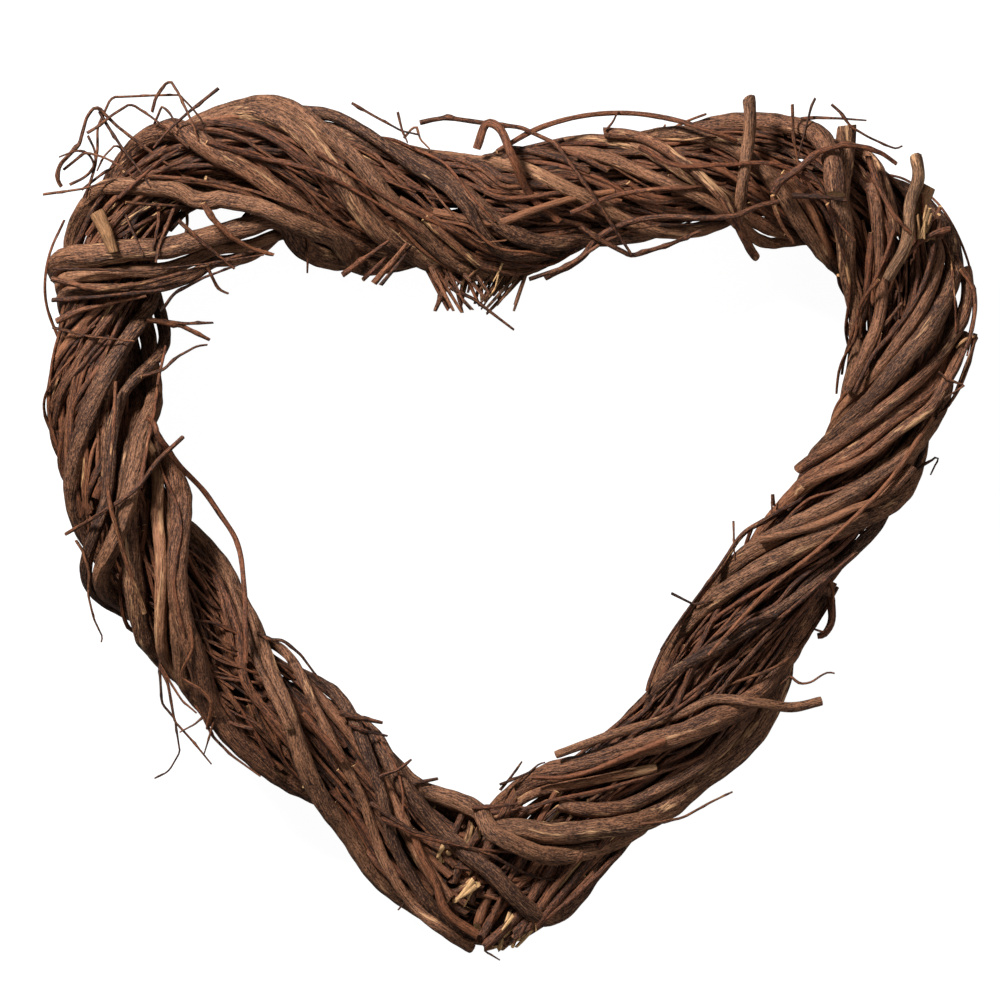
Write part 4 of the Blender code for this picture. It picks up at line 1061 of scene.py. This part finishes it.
def cover_canes(canes, shift, materials):
    """A bark-covered cane in place of each of the part's."""
    for number, (name, path, push, radius) in enumerate(canes):
        rng = np.random.default_rng(CANE_SEED + number)
        skin = TENDRIL_SKIN if radius < 0.5 * SLIM_CANE else CANE_SKIN
        tone, warmth, wear = skin.look
        sheaf = TwigSheaf()
        sheaf.add(path + shift, push, radius * THINNER.get(name, USUAL_THICKNESS), rng,
                  look_of(rng, (tone, warmth, WORN.get(name, wear))), skin, PEELED.get(name, 0.0))
        kind = "tendril_bark" if name.endswith(RED_BROWN) else "cane_bark"
        sheaf.piece(name + "_bark", materials[kind], (name,))


def slim_canes(bundle, laid, shift, materials):
    """Slimmer canes between the part's own."""
    sheaf = TwigSheaf()
    rng = np.random.default_rng(SLIM_SEED)
    for thickness, knots in SLIM_ROUTES:
        radius = 0.5 * thickness * MM
        points, push = follow_route(bundle, (knots,), radius, TWIG_GAP)
        path = settle(bundle, points, push, radius, laid, TWIG_GAP, CANE_BEND)
        sheaf.add(path + shift, push, radius, rng, look_of(rng, SLIM_SKIN.look), SLIM_SKIN)
    sheaf.piece("slim_canes", materials["cane_bark"])


def top_twigs(bundle, laid, shift, materials):
    """Thin twigs that lie across the front, dropped on it from above. The thickest are stubs that
    have lost much of their bark."""
    sheaf = TwigSheaf()
    rng = np.random.default_rng(TOP_SEED)
    for thickness, knots in TOP_ROUTES:
        radius = 0.5 * thickness * MM
        ways, pixels = np.array(knots, dtype=float).T
        points = bundle.line(ways) + bundle.outward(ways) * (pixels * PIXEL)[:, None]
        points, push = evenly(points, np.tile(UP, (len(points), 1)))
        path = settle(bundle, points, push, radius, laid, TWIG_GAP, TWIG_BEND)
        sheaf.add(path + shift, least_followed(path), radius, rng, look_of(rng, TOP_SKIN.look), TOP_SKIN,
                  STUB_BARENESS if thickness > TOP_STUB else 0.0)
    sheaf.piece("top_twigs", materials["tendril_bark"])


def wound_twigs(bundle, laid, shift, materials):
    """Thin twigs wound round the bundle over the canes: the turn of each grows steadily with its way,
    at a rate of its own, and strays a little at each knot."""
    sheaf = TwigSheaf()
    rng = np.random.default_rng(WOUND_SEED)
    for _ in range(WOUND_COUNT):
        radius = rng.uniform(*WOUND_RADII) * MM
        span = rng.uniform(*WOUND_SPANS)
        first = rng.uniform(*WOUND_STARTS)
        turn = rng.uniform(0.0, FULL_TURN)
        rate = rng.normal(*WOUND_LAY)
        ways = first + np.linspace(0.0, span, WOUND_KNOTS)
        turns = turn + rate * (ways - first) + rng.normal(0.0, WOUND_STRAY, WOUND_KNOTS)
        points, push = follow_route(bundle, (tuple(zip(ways, turns)),), radius, TWIG_GAP)
        path = settle(bundle, points, push, radius, laid, TWIG_GAP, TWIG_BEND)
        sheaf.add(path + shift, push, radius, rng, look_of(rng, WOUND_SKIN.look), WOUND_SKIN)
    sheaf.piece("wound_twigs", materials["tendril_bark"])


def under_twigs(bundle, shift, materials):
    """Thin twigs wound close round the bundle, which the canes press down: they run on through the
    places of the canes, so that they seem to pass under them. Their turn grows steadily with their
    way, and their height over the bundle rises and falls as a sine."""
    sheaf = TwigSheaf()
    rng = np.random.default_rng(UNDER_SEED)
    for count, first_way, last_way, low, high, lay_rate, vary, highest in UNDER_TWIGS:
        for _ in range(count):
            radius = rng.uniform(low, high) * MM
            rate = rng.normal(lay_rate, vary)
            span = min(rng.uniform(*UNDER_TURNS) / max(abs(rate), UNDER_LEAST_LAY), UNDER_LONGEST,
                       UNDER_SHARE * (last_way - first_way))
            first = rng.uniform(first_way, last_way - span)
            ways = first + np.linspace(0.0, span, UNDER_KNOTS)
            turns = (rng.uniform(0.0, FULL_TURN) + rate * (ways - first)
                     + rng.normal(0.0, UNDER_STRAY, UNDER_KNOTS))
            points, push = bundle.surface(ways, turns)
            height = rng.uniform(0.0, highest) * MM
            waves = np.sin(np.linspace(0.0, rng.uniform(*UNDER_WAVES), UNDER_KNOTS))
            height = height * (UNDER_STEADY + UNDER_WAVE * waves)
            sheaf.add(points + push * (radius + height)[:, None] + shift, push, radius, rng,
                      look_of(rng, UNDER_SKIN.look), UNDER_SKIN)
    sheaf.piece("under_twigs", materials["bundle_twigs"])


def bundle_twigs(bundle, shift, materials):
    """The twigs inside both bundles: rings of them at several depths, each with its own lay, and a
    few that run across the others. The turn of each grows steadily with its way and sways as a
    sine, and so does its depth. The deeper ones are painted darker, as painted shade."""
    tone, warmth, wear = BUNDLE_SKIN.look
    for name, node, first_way, last_way, seed in (
            ("right_bundle_twigs", "right_twig_bundle", 0.0, TIP_WAY, RIGHT_SEED),
            ("left_bundle_twigs", "left_twig_bundle", TIP_WAY + 1.0, HEART_WAY, LEFT_SEED)):
        sheaf = TwigSheaf()
        rng = np.random.default_rng(seed)
        for depth, count, low, high in BUNDLE_RINGS:
            for _ in range(count):
                radius = rng.uniform(low, high) * MM
                span = rng.uniform(*BUNDLE_SPANS)
                first = rng.uniform(first_way - 0.5 * span, last_way - 0.5 * span)
                start = max(first, first_way - BUNDLE_OVERHANG)
                end = min(first + span, last_way + BUNDLE_OVERHANG)
                knots = max(BUNDLE_KNOTS, int((end - start) * BUNDLE_KNOTS_A_WAY))
                ways = np.linspace(start, end, knots)
                rate = rng.normal(*(BUNDLE_LAY if rng.random() < LAID_SHARE else CROSS_LAY))
                turns = rng.uniform(0.0, FULL_TURN) + rate * (ways - start)
                turns += (BUNDLE_SWAY * np.sin((ways - start) * rng.uniform(*SWAY_RATES))
                          + rng.normal(0.0, BUNDLE_STRAY, knots))
                middle, wave = depth + rng.uniform(*DEPTH_STRAY), rng.uniform(*DEPTH_WAVES)
                swing = (ways - start) * rng.uniform(*DEPTH_RATES) + rng.uniform(*ANY_ANGLE)
                share = np.minimum(middle + wave * np.sin(swing), 1.0 - radius / BUNDLE_RADIUS)
                points, push = bundle.surface(ways, turns, share)
                # Painted shade: the tone is scaled by the ring's depth, so the deeper twigs are painted
                # darker
                sheaf.add(points + shift, push, radius, rng, look_of(rng, (tone * depth, warmth, wear)),
                          BUNDLE_SKIN)
        sheaf.piece(name, materials["bundle_twigs"], (node,))


def near_heading(rng, heading, stray):
    """Level direction at an angle near the heading."""
    lean = np.radians(rng.normal(heading, stray))
    return np.array([np.cos(lean), np.sin(lean), 0.0])


def quarter_on(heading):
    """Level direction a quarter turn on from this one."""
    return np.array([-heading[1], heading[0], 0.0])


def tip_twigs(shift, materials):
    """Cut ends of the right bundle's twigs, which run on past the tip: nearly straight, with a bow
    that is half a sine wave."""
    sheaf = TwigSheaf()
    rng = np.random.default_rng(TIP_SEED)
    ends = np.array([photo_place(across, down, 0.0) for across, down, _ in TIP_ENDS])
    spots = np.arange(len(ends))
    for _ in range(TIP_COUNT):
        radius = rng.uniform(*TIP_RADII) * MM
        along = rng.uniform(0.0, len(ends) - 1.0)
        height = rng.uniform(*TIP_HEIGHTS) * MM
        end = np.array([np.interp(along, spots, ends[:, axis]) for axis in range(3)])
        heading = near_heading(rng, TIP_HEADING, TIP_STRAY)
        end = end - heading * rng.uniform(*TIP_BACK) * MM + UP * height
        longest = np.interp(along, spots, [spot[2] for spot in TIP_ENDS])
        length = rng.uniform(*TIP_LENGTHS) * longest * MM
        start = end - heading * length + UP * rng.normal(0.0, TIP_RISE) * MM
        bow = quarter_on(heading) * rng.normal(0.0, TIP_BOW) * MM
        share = np.linspace(0.0, 1.0, TIP_KNOTS)[:, None]
        points = start * (1.0 - share) + end * share + bow * np.sin(np.pi * share)
        sheaf.add(points + shift, np.tile(UP, (TIP_KNOTS, 1)), radius, rng,
                  look_of(rng, TIP_SKIN.look), TIP_SKIN,
                  TIP_BARENESS if rng.random() < TIP_BARE_SHARE else 0.0)
    sheaf.piece("tip_twigs", materials["bundle_twigs"])


def loose_twigs(bundle, laid, shift, materials):
    """Tendrils and twig ends that stand off the wreath, with a kink and a small knot at each bud."""
    sheaf = TwigSheaf()
    rng = np.random.default_rng(LOOSE_SEED)
    for thickness, first_up, last_up, spots in LOOSE_ROUTES:
        radius = LOOSE_THICKNESS * thickness * MM
        heights = np.linspace(first_up, last_up, len(spots))
        points = kinked(np.array([photo_place(*spot, up) for spot, up in zip(spots, heights)]))
        push = np.tile(UP, (len(points), 1))
        path = lay(bundle, points, push, radius, laid, TWIG_GAP, TWIG_BEND)
        sheaf.add(path + shift, least_followed(path), radius, rng, look_of(rng, LOOSE_SKIN.look),
                  LOOSE_SKIN)
    sheaf.piece("loose_twigs", materials["tendril_bark"])


def torn_ends(shift, materials):
    """Torn wood, where a handful of stiff fibres fans out from one place: each is straight, with a
    bend aside that grows as the square of the way along it."""
    sheaf = TwigSheaf()
    rng = np.random.default_rng(TORN_SEED)
    share = np.linspace(0.0, 1.0, TORN_KNOTS)[:, None]
    for spot, up, heading, count, width, longest, thick, peeled in TORN_ENDS:
        for _ in range(count):
            ahead = near_heading(rng, heading, TORN_STRAY)
            beside = quarter_on(ahead)
            ahead = ahead + UP * rng.normal(0.0, TORN_SLOPE)
            start = photo_place(*spot, up + rng.uniform(*TORN_HEIGHTS))
            start += beside * rng.uniform(*TORN_PLACES) * width * MM
            points = start + ahead * rng.uniform(*TORN_LENGTHS) * longest * MM * share
            points = points + beside * rng.normal(0.0, TORN_BOW) * MM * share ** 2
            radius = rng.uniform(*TORN_RADII) * thick * MM
            sheaf.add(points + shift, np.tile(UP, (TORN_KNOTS, 1)), radius, rng,
                      look_of(rng, TORN_SKIN.look), TORN_SKIN, peeled)
    sheaf.piece("torn_ends", materials["bundle_twigs"])


def plain_stage():
    """Pale floor that the wreath lies on, with a glow that only the camera sees."""
    mesh = bpy.data.meshes.new("floor")
    half = FLOOR_WIDTH * 0.5
    mesh.from_pydata([(-half, -half, 0.0), (half, -half, 0.0), (half, half, 0.0), (-half, half, 0.0)],
                     [], [(0, 1, 2, 3)])
    floor = placed("floor", mesh)
    surface = Surface("floor_paper")
    seen = Value(surface, surface.node("ShaderNodeLightPath", {}, {}).outputs["Is Camera Ray"])
    mesh.materials.append(surface.finish({"Base Color": (FLOOR_WHITE, FLOOR_WHITE, FLOOR_WHITE, 1.0),
                                          "Roughness": FLOOR_ROUGHNESS,
                                          "Emission Color": surface.mixed(seen, BLACK, WHITE),
                                          "Emission Strength": FLOOR_GLOW}))


def soft_light(name, place, width, power):
    """A large soft lamp that points at the middle of the frame."""
    lamp = bpy.data.lights.new(name, "AREA")
    lamp.shape = "DISK"
    lamp.size = width
    lamp.energy = power
    made = placed(name, lamp)
    made.location = place
    made.rotation_euler = (-Vector(place)).to_track_quat("-Z", "Y").to_euler()


def studio_light():
    """White surroundings, a key lamp from the upper left and a weaker one from the right."""
    world = bpy.data.worlds.new("studio")
    world.use_nodes = True
    background = world.node_tree.nodes["Background"].inputs
    background["Color"].default_value = WHITE
    background["Strength"].default_value = SURROUND_LIGHT
    bpy.context.scene.world = world
    bpy.context.scene.view_settings.view_transform = "Standard"
    soft_light("key_lamp", *KEY_LAMP)
    soft_light("fill_lamp", *FILL_LAMP)


def photo_camera(shift):
    """Camera straight above, with the photograph's frame at the height of the heart line."""
    camera = bpy.data.cameras.new("photo_camera")
    camera.lens = LENS
    across = PHOTO_PIXELS * PIXEL
    made = placed("photo_camera", camera)
    made.location = photo_place(*PHOTO_CENTRE, 0.0) + shift + UP * across * LENS / camera.sensor_width
    bpy.context.scene.camera = made


def build_scene():
    """Dress the whole wreath and set the stage."""
    bundle = HeartBundle()
    laid, canes = lay_canes(bundle)
    shift = in_frame(canes)
    materials = {name: bark(name, *tints) for name, tints in BARKS.items()}
    cover_canes(canes, shift, materials)
    bundle_twigs(bundle, shift, materials)
    under_twigs(bundle, shift, materials)
    tip_twigs(shift, materials)
    slim_canes(bundle, laid, shift, materials)
    wound_twigs(bundle, laid, shift, materials)
    top_twigs(bundle, laid, shift, materials)
    loose_twigs(bundle, laid, shift, materials)
    torn_ends(shift, materials)
    plain_stage()
    studio_light()
    photo_camera(shift)


build_scene()
